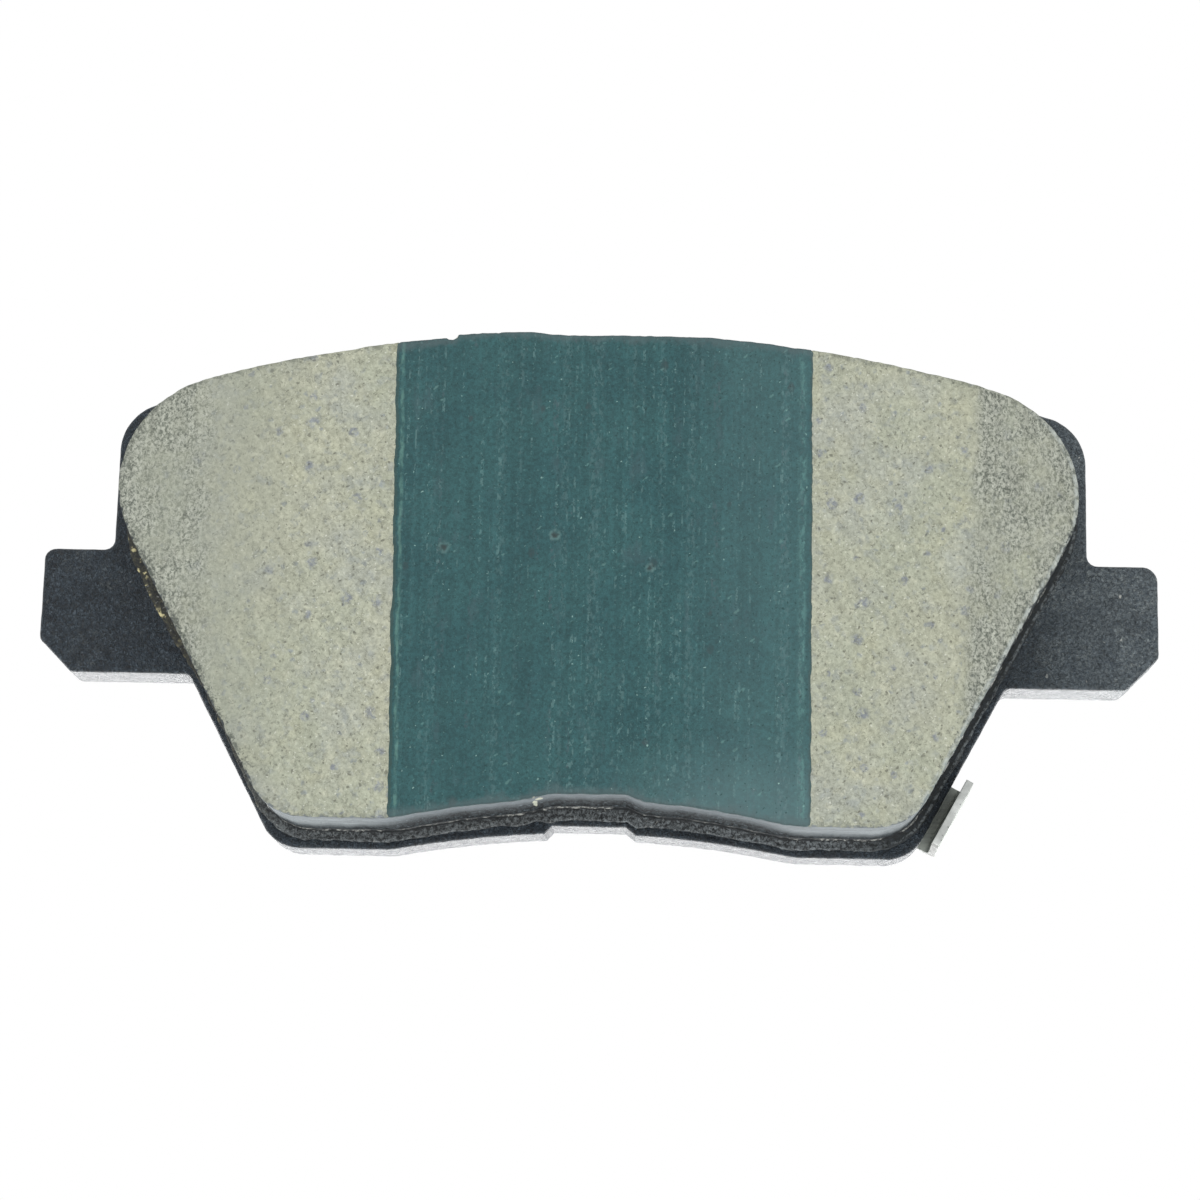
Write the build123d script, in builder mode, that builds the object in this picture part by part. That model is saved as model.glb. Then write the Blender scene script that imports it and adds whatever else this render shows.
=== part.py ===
"""Front disc brake pad for a small car.

Frame: +X runs along the pad, +Z points outward from the wheel's axle to the
arched edge, and Y is the disc's axis. The back face that the caliper piston
presses lies at Y = 0 and the friction face looks towards -Y. The origin is
the centre of the back face. Units are millimetres.
"""
import os
from math import cos, radians, sin, tan

from build123d import *

os.makedirs("parts", exist_ok=True)

# ---------------------------------------------------------------- layers
# Thickness of each layer, from the back face towards the disc.
shim_outer_rubber_t = 0.10
shim_steel_t = 0.50
shim_inner_rubber_t = 0.10
shim_adhesive_t = 0.10
plate_t = 6.00
bonding_adhesive_t = 0.10
underlayer_t = 2.00
friction_t = 8.40
stripe_t = 0.05

# Depth of each layer's rear side below the back face.
shim_steel_y = shim_outer_rubber_t
shim_inner_y = shim_steel_y + shim_steel_t
shim_adhesive_y = shim_inner_y + shim_inner_rubber_t
plate_y = shim_adhesive_y + shim_adhesive_t
bonding_y = plate_y + plate_t
underlayer_y = bonding_y + bonding_adhesive_t
friction_y = underlayer_y + underlayer_t
stripe_y = friction_y + friction_t

# ---------------------------------------------------------------- plate
plate_bottom_z = -27.0
plate_top_z = 27.0
plate_top_r = 165.0
body_half_x = 51.0
ear_end_x = 58.3
ear_top_z = 4.2
ear_bottom_z = -9.05
ear_chamfer = 3.5
ear_top_corner_left_r = 1.2
ear_top_corner_right_r = 1.6
ear_chamfer_corner_r = 1.0
ear_root_r = 1.0
slant_angle = 28.5
slant_top_x = 42.4
plate_upper_corner_r = 5.3
plate_lower_corner_r = 4.2
arch_half_x = 20.5
arch_rise = 2.05
arch_blend_r = 8.0
notch_floor_z = -24.24
notch_floor_left_x = -4.1
notch_floor_right_x = 3.4
notch_mouth_left_x = -4.9
notch_mouth_right_x = 4.5
moulding_hole_d = 9.0
moulding_hole_x = 21.0
moulding_hole_z = 3.0

# ---------------------------------------------------------------- friction
friction_top_z = 25.65
friction_top_flat_z = 25.4
friction_top_r = 150.3
friction_bottom_z = -25.3
friction_side_left_x = 40.95
friction_side_right_x = 40.7
friction_upper_corner_r = 11.0
friction_lower_corner_r = 6.0
friction_arch_half_x = 19.8
friction_arch_rise = 2.25
friction_notch_z = -22.5
friction_notch_left_x = -3.6
friction_notch_right_x = 3.9
friction_notch_left_run = 4.6
friction_notch_right_run = 1.5
flash_width = 1.0
flash_t = 0.5
end_chamfer_left_x = 38.2
end_chamfer_right_x = 37.3
end_chamfer_lean = 3.0
end_chamfer_angle = 10.5

# Edges of the painted stripe at the height of the friction's top and bottom.
stripe_left_top_x = -20.9
stripe_left_bottom_x = -20.1
stripe_right_x = 21.8

# ---------------------------------------------------------------- shim
shim_inset = 0.4
shim_relief_clearance = 0.7

# ---------------------------------------------------------------- indicator
indicator_t = 0.80
indicator_width = 7.4
indicator_drop = 12.65
indicator_gap = 1.25
indicator_tip_y = 9.0
indicator_lean = 2.0
indicator_inward = 11.5
indicator_bend_r = 0.5
indicator_end_r = 3.4
rivet_inset = 7.0
rivet_shank_d = 4.0
rivet_head_d = 6.4
rivet_head_t = 1.1
rivet_head_edge_r = 0.9
rivet_tail_d = 5.8
rivet_tail_t = 0.9

slope = tan(radians(slant_angle))
along_x = sin(radians(slant_angle))
along_z = cos(radians(slant_angle))


def slant_x(z, top_x):
    """X of the slanted side at height z, where top_x is at the ear's foot."""
    return top_x + slope * (z - ear_bottom_z)


def layer(depth):
    """Sketch plane facing the disc, at a depth below the back face."""
    return Plane.XZ.offset(depth)


def corner(x, z):
    """Sketch corner nearest to a point."""
    return vertices().sort_by_distance((x, z))[0]


def plate_outline():
    """Face of the backing plate with its two ears and the lower notch."""
    with BuildSketch() as face:
        top_centre_z = plate_top_z - plate_top_r
        top_end_z = top_centre_z + (plate_top_r**2 - body_half_x**2) ** 0.5
        foot_x = slant_x(plate_bottom_z, slant_top_x)
        right = [
            (body_half_x, top_end_z),
            (body_half_x, ear_top_z),
            (ear_end_x, ear_top_z),
            (ear_end_x, ear_bottom_z + ear_chamfer),
            (ear_end_x - ear_chamfer, ear_bottom_z),
            (slant_top_x, ear_bottom_z),
            (foot_x, plate_bottom_z),
            (arch_half_x, plate_bottom_z),
        ]
        left = [(-x, z) for x, z in right]
        with BuildLine():
            ThreePointArc(left[0], (0, plate_top_z), right[0])
            Polyline(*right)
            Polyline(*left)
            ThreePointArc(left[-1], (0, plate_bottom_z + arch_rise), right[-1])
        make_face()
        for side in (-1, 1):
            fillet(corner(side * body_half_x, top_end_z), plate_upper_corner_r)
            fillet(corner(side * body_half_x, ear_top_z), ear_root_r)
            fillet(corner(side * slant_top_x, ear_bottom_z), ear_root_r)
            chamfer_end_z = ear_bottom_z + ear_chamfer
            chamfer_end_x = ear_end_x - ear_chamfer
            fillet(corner(side * ear_end_x, chamfer_end_z), ear_chamfer_corner_r)
            fillet(corner(side * chamfer_end_x, ear_bottom_z), ear_chamfer_corner_r)
            fillet(corner(side * foot_x, plate_bottom_z), plate_lower_corner_r)
            fillet(corner(side * arch_half_x, plate_bottom_z), arch_blend_r)
        fillet(corner(-ear_end_x, ear_top_z), ear_top_corner_left_r)
        fillet(corner(ear_end_x, ear_top_z), ear_top_corner_right_r)
        mouth_z = plate_bottom_z + arch_rise - 0.15
        below_z = plate_bottom_z - 1.0
        reach = (notch_floor_z - below_z) / (notch_floor_z - mouth_z)
        below_left_x = notch_floor_left_x + reach * (notch_mouth_left_x - notch_floor_left_x)
        below_right_x = notch_floor_right_x + reach * (
            notch_mouth_right_x - notch_floor_right_x
        )
        with BuildLine():
            Polyline(
                (notch_floor_left_x, notch_floor_z),
                (notch_floor_right_x, notch_floor_z),
                (below_right_x, below_z),
                (below_left_x, below_z),
                close=True,
            )
        make_face(mode=Mode.SUBTRACT)
    return face.sketch


def pad_side(side, side_x):
    """Corners of one slanted side, from the top arc to the foot of the arch."""
    top_centre_z = friction_top_z - friction_top_r
    # The slanted side carries on up until it meets the top arc.
    zero_x = slant_x(0, side_x)
    square = 1 + slope**2
    linear = 2 * (slope * zero_x - top_centre_z)
    rest = zero_x**2 + top_centre_z**2 - friction_top_r**2
    end_z = (-linear + (linear**2 - 4 * square * rest) ** 0.5) / (2 * square)
    return [
        (side * slant_x(end_z, side_x), end_z),
        (side * slant_x(friction_bottom_z, side_x), friction_bottom_z),
        (side * friction_arch_half_x, friction_bottom_z),
    ]


def pad_outline(grow, notched):
    """Outline shared by the friction layers and the shim."""
    with BuildSketch() as face:
        left = pad_side(-1, friction_side_left_x)
        right = pad_side(1, friction_side_right_x)
        with BuildLine():
            ThreePointArc(left[0], (0, friction_top_z), right[0])
            Polyline(*right)
            Polyline(*left)
            arch_top_z = friction_bottom_z + friction_arch_rise
            ThreePointArc(left[-1], (0, arch_top_z), right[-1])
        make_face()
        for shoulder, foot, arch_foot in (left, right):
            fillet(corner(*shoulder), friction_upper_corner_r)
            fillet(corner(*foot), friction_lower_corner_r)
            fillet(corner(*arch_foot), arch_blend_r)
        if notched:
            # The notch's sides slope, the left one more gently.
            drop = friction_notch_z - friction_bottom_z
            mouth_left_x = friction_notch_left_x - drop * friction_notch_left_run
            mouth_right_x = friction_notch_right_x + drop * friction_notch_right_run
            with BuildLine():
                Polyline(
                    (friction_notch_left_x, friction_notch_z),
                    (friction_notch_right_x, friction_notch_z),
                    (mouth_right_x, friction_bottom_z),
                    (mouth_left_x, friction_bottom_z),
                    close=True,
                )
            make_face(mode=Mode.SUBTRACT)
            # The middle of the top edge is cut level.
            with Locations((0, friction_top_flat_z + 1.0)):
                Rectangle(30.0, 2.0, mode=Mode.SUBTRACT)
        if grow:
            offset(amount=grow, kind=Kind.INTERSECTION)
    return face.sketch


# The wear indicator stands square to the slanted side of the plate, near its
# lower corner. These place its middle on the plate's edge and its rivet.
edge_z = ear_bottom_z - indicator_drop
edge_x = slant_x(edge_z, slant_top_x)
rivet_x = edge_x - rivet_inset * along_z
rivet_z = edge_z + rivet_inset * along_x
indicator_plane = Plane(
    origin=(edge_x, 0, edge_z),
    x_dir=(along_z, 0, -along_x),
    z_dir=(along_x, 0, along_z),
)
relief_length = 2 * (indicator_inward + shim_relief_clearance)
relief_width = indicator_width + 2 * shim_relief_clearance


def shim_outline():
    """Shim face, cut back around the wear indicator's foot."""
    with BuildSketch() as face:
        add(pad_outline(-shim_inset, False))
        with Locations(Location((edge_x, edge_z), -slant_angle)):
            Rectangle(relief_length, relief_width, mode=Mode.SUBTRACT)
        with Locations((edge_x + 4.5, edge_z - 6.0)):
            Rectangle(11.0, 14.0, mode=Mode.SUBTRACT)
    return face.sketch


# ---------------------------------------------------------------- plate part
with BuildPart() as backing_plate:
    with BuildSketch(layer(plate_y)):
        add(plate_outline())
    extrude(amount=plate_t)
    with BuildSketch(layer(plate_y)):
        with Locations(
            (-moulding_hole_x, moulding_hole_z),
            (moulding_hole_x, moulding_hole_z),
        ):
            Circle(moulding_hole_d / 2)
        with Locations((rivet_x, rivet_z)):
            Circle(rivet_shank_d / 2)
    extrude(amount=plate_t, mode=Mode.SUBTRACT)
    with BuildSketch(layer(bonding_y - rivet_tail_t)):
        with Locations((rivet_x, rivet_z)):
            Circle(rivet_tail_d / 2)
    extrude(amount=rivet_tail_t, mode=Mode.SUBTRACT)
backing_plate.part.label = "backing_plate"
export_step(backing_plate.part, "parts/backing_plate.step")

# ---------------------------------------------------------------- adhesive
with BuildPart() as bonding_adhesive:
    with BuildSketch(layer(bonding_y)):
        add(pad_outline(flash_width, True))
        with Locations(
            (-moulding_hole_x, moulding_hole_z),
            (moulding_hole_x, moulding_hole_z),
        ):
            Circle(moulding_hole_d / 2, mode=Mode.SUBTRACT)
    extrude(amount=bonding_adhesive_t)
bonding_adhesive.part.label = "bonding_adhesive"
export_step(bonding_adhesive.part, "parts/bonding_adhesive.step")

# ---------------------------------------------------------------- underlayer
# The underlayer flows into the plate's moulding holes and squeezes out into a
# thin flash around its own foot.
with BuildPart() as underlayer:
    with BuildSketch(layer(underlayer_y)):
        add(pad_outline(0, True))
    extrude(amount=underlayer_t)
    with BuildSketch(layer(underlayer_y)):
        add(pad_outline(flash_width, True))
    extrude(amount=flash_t)
    with BuildSketch(layer(plate_y)):
        with Locations(
            (-moulding_hole_x, moulding_hole_z),
            (moulding_hole_x, moulding_hole_z),
        ):
            Circle(moulding_hole_d / 2)
    extrude(amount=plate_t + bonding_adhesive_t)
underlayer.part.label = "underlayer"
export_step(underlayer.part, "parts/underlayer.step")

# ---------------------------------------------------------------- friction
with BuildPart() as friction_block:
    with BuildSketch(layer(friction_y)):
        add(pad_outline(0, True))
    extrude(amount=friction_t)
    lean = radians(end_chamfer_lean)
    reach = 20.0
    rise = reach * tan(radians(end_chamfer_angle))
    for side, start_x in ((-1, end_chamfer_left_x), (1, end_chamfer_right_x)):
        chamfer_plane = Plane(
            origin=(side * start_x, -stripe_y, 0),
            x_dir=(side * cos(lean), 0, -sin(lean)),
            z_dir=(side * sin(lean), 0, cos(lean)),
        )
        with BuildSketch(chamfer_plane):
            with BuildLine():
                Polyline((0, 0), (reach, 0), (reach, side * rise), close=True)
            make_face()
        extrude(amount=40, both=True, mode=Mode.SUBTRACT)
friction_block.part.label = "friction_block"
export_step(friction_block.part, "parts/friction_block.step")

# ---------------------------------------------------------------- stripe
# A painted band across the middle of the friction face. Its left edge leans.
stripe_lean = (stripe_left_bottom_x - stripe_left_top_x) / (
    friction_top_z - friction_bottom_z
)
stripe_low_z = friction_bottom_z - 2.0
stripe_high_z = friction_top_z + 2.0
with BuildPart() as bedding_stripe:
    with BuildSketch(layer(stripe_y)):
        add(pad_outline(0, True))
        with BuildLine():
            Polyline(
                (stripe_left_bottom_x + 2.0 * stripe_lean, stripe_low_z),
                (stripe_right_x, stripe_low_z),
                (stripe_right_x, stripe_high_z),
                (stripe_left_top_x - 2.0 * stripe_lean, stripe_high_z),
                close=True,
            )
        make_face(mode=Mode.INTERSECT)
    extrude(amount=stripe_t)
bedding_stripe.part.label = "bedding_stripe"
export_step(bedding_stripe.part, "parts/bedding_stripe.step")

# ---------------------------------------------------------------- shim
# Noise shim: sheet steel rubber-coated on both sides and glued to the plate.
with BuildPart() as shim_outer_rubber:
    with BuildSketch(layer(0)):
        add(shim_outline())
    extrude(amount=shim_outer_rubber_t)
shim_outer_rubber.part.label = "shim_outer_rubber"
export_step(shim_outer_rubber.part, "parts/shim_outer_rubber.step")

with BuildPart() as shim_steel_core:
    with BuildSketch(layer(shim_steel_y)):
        add(shim_outline())
    extrude(amount=shim_steel_t)
shim_steel_core.part.label = "shim_steel_core"
export_step(shim_steel_core.part, "parts/shim_steel_core.step")

with BuildPart() as shim_inner_rubber:
    with BuildSketch(layer(shim_inner_y)):
        add(shim_outline())
    extrude(amount=shim_inner_rubber_t)
shim_inner_rubber.part.label = "shim_inner_rubber"
export_step(shim_inner_rubber.part, "parts/shim_inner_rubber.step")

with BuildPart() as shim_adhesive:
    with BuildSketch(layer(shim_adhesive_y)):
        add(shim_outline())
    extrude(amount=shim_adhesive_t)
shim_adhesive.part.label = "shim_adhesive"
export_step(shim_adhesive.part, "parts/shim_adhesive.step")

# ---------------------------------------------------------------- indicator
# Spring-steel strip: a foot on the plate's back and a leg bent towards the
# disc, which scrapes the disc when the friction block is worn.
with BuildPart() as wear_indicator:
    with BuildSketch(indicator_plane):
        tip_lean = indicator_tip_y * tan(radians(indicator_lean))
        inner_x = indicator_gap
        outer_x = indicator_gap + indicator_t
        with BuildLine():
            Polyline(
                (-indicator_inward, -indicator_t),
                (inner_x, -indicator_t),
                (inner_x - tip_lean, -indicator_tip_y),
                (outer_x - tip_lean, -indicator_tip_y),
                (outer_x, 0),
                (-indicator_inward, 0),
                close=True,
            )
        make_face()
        fillet(corner(inner_x, -indicator_t), indicator_bend_r)
        fillet(corner(outer_x, 0), indicator_bend_r + indicator_t)
    extrude(amount=indicator_width / 2, both=True)
    foot_end = wear_indicator.edges().filter_by(Axis.Y).sort_by_distance(
        indicator_plane.from_local_coords((-indicator_inward, 0, 0))
    )[:2]
    fillet(foot_end, indicator_end_r)
    with BuildSketch(layer(0)):
        with Locations((rivet_x, rivet_z)):
            Circle(rivet_shank_d / 2)
    extrude(amount=indicator_t, mode=Mode.SUBTRACT)
wear_indicator.part.label = "wear_indicator"
export_step(wear_indicator.part, "parts/wear_indicator.step")

# Rivet through the foot and the plate, with its tail flush in the plate.
with BuildPart() as indicator_rivet:
    with BuildSketch(layer(-rivet_head_t)):
        with Locations((rivet_x, rivet_z)):
            Circle(rivet_head_d / 2)
    extrude(amount=rivet_head_t)
    head_rim = indicator_rivet.edges().group_by(Axis.Y)[-1]
    fillet(head_rim, rivet_head_edge_r)
    with BuildSketch(layer(0)):
        with Locations((rivet_x, rivet_z)):
            Circle(rivet_shank_d / 2)
    extrude(amount=bonding_y)
    with BuildSketch(layer(bonding_y - rivet_tail_t)):
        with Locations((rivet_x, rivet_z)):
            Circle(rivet_tail_d / 2)
    extrude(amount=rivet_tail_t)
indicator_rivet.part.label = "indicator_rivet"
export_step(indicator_rivet.part, "parts/indicator_rivet.step")
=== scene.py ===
import math

import bmesh
import bpy
import numpy as np
from mathutils import Matrix, Vector
from mathutils.geometry import delaunay_2d_cdt


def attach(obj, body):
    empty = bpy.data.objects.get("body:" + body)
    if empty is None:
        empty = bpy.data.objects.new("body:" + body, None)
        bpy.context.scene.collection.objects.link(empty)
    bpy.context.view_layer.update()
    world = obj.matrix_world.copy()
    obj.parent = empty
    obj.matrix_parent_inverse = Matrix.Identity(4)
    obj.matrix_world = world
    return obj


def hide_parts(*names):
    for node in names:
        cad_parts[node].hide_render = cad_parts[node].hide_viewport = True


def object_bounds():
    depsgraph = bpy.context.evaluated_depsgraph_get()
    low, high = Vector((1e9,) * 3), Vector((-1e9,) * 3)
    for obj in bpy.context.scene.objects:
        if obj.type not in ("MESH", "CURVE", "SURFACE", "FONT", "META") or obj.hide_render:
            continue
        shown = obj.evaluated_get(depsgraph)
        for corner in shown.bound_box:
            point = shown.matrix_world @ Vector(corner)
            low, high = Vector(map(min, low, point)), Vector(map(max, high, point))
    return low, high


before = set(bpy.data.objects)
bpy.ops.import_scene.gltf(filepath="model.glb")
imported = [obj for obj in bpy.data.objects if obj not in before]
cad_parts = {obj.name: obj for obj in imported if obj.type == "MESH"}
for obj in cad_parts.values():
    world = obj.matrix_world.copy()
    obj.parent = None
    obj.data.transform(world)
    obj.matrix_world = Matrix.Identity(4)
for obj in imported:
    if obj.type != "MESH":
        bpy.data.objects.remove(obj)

# Geometry below is worked out in millimetres in the row frame and scaled to
# metres when a mesh is made. +X runs along the pad, +Z is up, and the
# friction face looks towards -Y.
MM = 1000.0
scene = bpy.context.scene
cad_lo, cad_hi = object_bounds()


# ---- numbers
def lattice(ix, iy, iz, seed):
    """Repeatable value from 0 to 1 for each whole-number lattice point."""
    n = (ix * 374761393 + iy * 668265263 + iz * 1440662683 + seed * 97531) & 0xFFFFFFFF
    n = ((n ^ (n >> 13)) * 1274126177) & 0xFFFFFFFF
    n = ((n ^ (n >> 15)) * 2246822519) & 0xFFFFFFFF
    return ((n ^ (n >> 16)) & 0xFFFFFF) / float(0xFFFFFF)


def noise(p, size, seed=0):
    """Smooth noise from -1 to 1 at points p, with cells of the given size."""
    q = np.asarray(p, float) / size
    i = np.floor(q).astype(np.int64)
    f = q - i
    f = f * f * (3 - 2 * f)
    total = 0.0
    for a in (0, 1):
        wa = f[:, 0] if a else 1 - f[:, 0]
        for b in (0, 1):
            wb = f[:, 1] if b else 1 - f[:, 1]
            for c in (0, 1):
                wc = f[:, 2] if c else 1 - f[:, 2]
                corner = lattice(i[:, 0] + a, i[:, 1] + b, i[:, 2] + c, seed)
                total = total + wa * wb * wc * corner
    return total * 2 - 1


def fbm(p, size, octaves=3, seed=0):
    """Sum of noise at halving sizes."""
    total, gain = 0.0, 1.0
    for k in range(octaves):
        total = total + gain * noise(p, size / 2**k, seed + 17 * k)
        gain *= 0.5
    return total / (2 - 0.5 ** (octaves - 1))


def cells(p, size, seed=0):
    """Distance to the nearest scattered centre in XZ, and its random number."""
    q = np.asarray(p, float)[:, [0, 2]] / size
    i = np.floor(q).astype(np.int64)
    best = np.full(len(q), 9.0)
    pick = np.zeros(len(q))
    zero = np.zeros(len(q), np.int64)
    for a in (-1, 0, 1):
        for b in (-1, 0, 1):
            cx, cz = i[:, 0] + a, i[:, 1] + b
            x = cx + lattice(cx, cz, zero, seed)
            z = cz + lattice(cx, cz, zero + 1, seed)
            d = np.hypot(q[:, 0] - x, q[:, 1] - z)
            nearer = d < best
            best = np.where(nearer, d, best)
            pick = np.where(nearer, lattice(cx, cz, zero + 2, seed), pick)
    return best * size, pick


def smooth(a, b, x):
    """Smooth step from 0 at a to 1 at b."""
    t = np.clip((x - a) / (b - a), 0, 1)
    return t * t * (3 - 2 * t)


def hump(x, centre, width):
    """Bell with a height of 1 at the centre."""
    return np.exp(-(((x - centre) / width) ** 2))


def at(xz, y=0.0):
    """Points in space from XZ pairs and a Y value or array."""
    xz = np.asarray(xz, float)
    return np.stack([xz[:, 0], np.broadcast_to(y, len(xz)), xz[:, 1]], 1)


# ---- outlines
FLAT_WITHIN = 0.004
BATCH = 4000


def outline(node, y):
    """Closed XZ outlines of a CAD node's flat face at height y, largest first,
    the outer one counter-clockwise as seen from the disc."""
    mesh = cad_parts[node].data
    co = np.array([v.co for v in mesh.vertices], float) * MM
    mesh.calc_loop_triangles()
    tris = np.array([t.vertices for t in mesh.loop_triangles])
    flat = np.all(np.abs(co[tris][:, :, 1] - y) < FLAT_WITHIN, axis=1)
    names, places = {}, []

    def name(v):
        key = (round(co[v, 0], 3), round(co[v, 2], 3))
        if key not in names:
            names[key] = len(places)
            places.append(key)
        return names[key]

    edges = {}
    for tri in tris[flat]:
        a = [name(v) for v in tri]
        for u, v in ((a[0], a[1]), (a[1], a[2]), (a[2], a[0])):
            if (v, u) in edges:
                del edges[(v, u)]
            else:
                edges[(u, v)] = True
    follow = {u: v for u, v in edges}
    loops = []
    while follow:
        start, here = next(iter(follow.items()))
        del follow[start]
        ring = [start]
        while here != start:
            ring.append(here)
            here = follow.pop(here)
        pts = np.array([places[k] for k in ring], float)
        loops.append(pts)
    loops.sort(key=lambda p: -abs(area(p)))
    return [p if (area(p) > 0) == (k == 0) else p[::-1] for k, p in enumerate(loops)]


def area(p):
    """Signed area of a closed outline."""
    q = np.roll(p, -1, axis=0)
    return 0.5 * float(np.sum(p[:, 0] * q[:, 1] - q[:, 0] * p[:, 1]))


def resample(loop, step, sharp=22.0, relax=2):
    """Outline with even spacing between its corners, which turn by more than
    sharp degrees and stay where they are."""
    before = loop - np.roll(loop, 1, axis=0)
    after = np.roll(loop, -1, axis=0) - loop
    cross = before[:, 0] * after[:, 1] - before[:, 1] * after[:, 0]
    turn = np.degrees(np.arctan2(cross, np.sum(before * after, axis=1)))
    corners = np.flatnonzero(np.abs(turn) > sharp)
    first = corners[0] if len(corners) else 0
    loop = np.roll(loop, -first, axis=0)
    stops = [int(c - first) for c in corners] if len(corners) else [0]
    stops.append(len(loop))
    closed = np.vstack([loop, loop[:1]])
    out, fixed = [], []
    for a, b in zip(stops[:-1], stops[1:]):
        run = closed[a : b + 1]
        s = np.concatenate([[0], np.cumsum(np.hypot(*np.diff(run, axis=0).T))])
        n = max(1, int(round(s[-1] / step)))
        t = np.linspace(0, s[-1], n + 1)[:-1]
        out.append(np.stack([np.interp(t, s, run[:, 0]), np.interp(t, s, run[:, 1])], 1))
        fixed += [len(corners) > 0] + [False] * (n - 1)
    ring = np.vstack(out)
    free = ~np.array(fixed)[:, None]
    for _ in range(relax):
        mean = (np.roll(ring, 1, axis=0) + np.roll(ring, -1, axis=0)) / 2
        ring = np.where(free, ring * 0.5 + mean * 0.5, ring)
    return ring


def outward(ring):
    """Unit normals in XZ that point away from the material."""
    d = np.roll(ring, -1, axis=0) - np.roll(ring, 1, axis=0)
    n = np.stack([d[:, 1], -d[:, 0]], 1)
    return n / np.maximum(np.linalg.norm(n, axis=1, keepdims=True), 1e-9)


def inset(ring, depth):
    """Outline moved into the material by depth, a number or one per point."""
    return ring - outward(ring) * np.reshape(depth, (-1, 1))


def inside(p, ring):
    """Which points lie inside a closed outline."""
    a, b = ring, np.roll(ring, -1, axis=0)
    out = np.zeros(len(p), bool)
    for k in range(0, len(p), BATCH):
        x, z = p[k : k + BATCH, 0:1], p[k : k + BATCH, 1:2]
        spans = (a[:, 1] > z) != (b[:, 1] > z)
        rise = np.where(b[:, 1] == a[:, 1], 1e-12, b[:, 1] - a[:, 1])
        cross = a[:, 0] + (z - a[:, 1]) / rise * (b[:, 0] - a[:, 0])
        out[k : k + BATCH] = np.sum(spans & (x < cross), axis=1) % 2 == 1
    return out


def gap(p, ring):
    """Distance from each point to a closed outline."""
    a, b = ring, np.roll(ring, -1, axis=0)
    d = b - a
    size = np.maximum(np.sum(d * d, axis=1), 1e-12)
    out = np.zeros(len(p))
    for k in range(0, len(p), BATCH):
        v = p[k : k + BATCH, None, :] - a[None]
        t = np.clip(np.sum(v * d, axis=2) / size, 0, 1)
        r = v - t[:, :, None] * d
        out[k : k + BATCH] = np.sqrt(np.min(np.sum(r * r, axis=2), axis=1))
    return out


# ---- meshes
ROW_RATIO = 0.866
THIN_EVERY = 5


def fill(rings, step, margin, coarse=None):
    """Points, triangles and edge distances of a flat cap bounded by outlines.

    The outlines' points come first. The others lie on a grid with the given
    step, at least margin from the outlines, and fewer where coarse(p) is true.
    """
    lo, hi = rings[0].min(0), rings[0].max(0)
    rows = np.arange(lo[1], hi[1], step * ROW_RATIO)
    grid = []
    for j, z in enumerate(rows):
        x = np.arange(lo[0] + (j % 2) * step / 2, hi[0], step)
        keep = np.ones(len(x), bool)
        if coarse is not None:
            thin = coarse(np.stack([x, np.full(len(x), z)], 1))
            even = (np.arange(len(x)) % THIN_EVERY == 0) & (j % THIN_EVERY == 0)
            keep = ~thin | even
        grid.append(np.stack([x[keep], np.full(int(keep.sum()), z)], 1))
    grid = np.vstack(grid)
    ok = inside(grid, rings[0])
    grid = grid[ok]
    edge = gap(grid, rings[0])
    for hole in rings[1:]:
        edge = np.where(inside(grid, hole), -1, np.minimum(edge, gap(grid, hole)))
    grid, edge = grid[edge > margin], edge[edge > margin]
    pts = np.vstack(rings + [grid])
    links, first = [], 0
    for ring in rings:
        n = len(ring)
        links += [(first + k, first + (k + 1) % n) for k in range(n)]
        first += n
    made = delaunay_2d_cdt([Vector(p) for p in pts], links, [], 0, 1e-7)
    back = [o[0] if o else -1 for o in made[3]]
    tris = np.array([[back[v] for v in f] for f in made[2]])
    tris = tris[np.all(tris >= 0, axis=1)]
    middle = pts[tris].mean(axis=1)
    ok = inside(middle, rings[0])
    for hole in rings[1:]:
        ok &= ~inside(middle, hole)
    tris = tris[ok]
    v = pts[tris]
    s = (v[:, 1, 0] - v[:, 0, 0]) * (v[:, 2, 1] - v[:, 0, 1])
    s = s - (v[:, 2, 0] - v[:, 0, 0]) * (v[:, 1, 1] - v[:, 0, 1])
    tris[s < 0] = tris[s < 0][:, ::-1]
    full = np.concatenate([np.zeros(first), edge])
    return pts, tris, full


WALL, FRONT, BACK = 0, 1, 2


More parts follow.
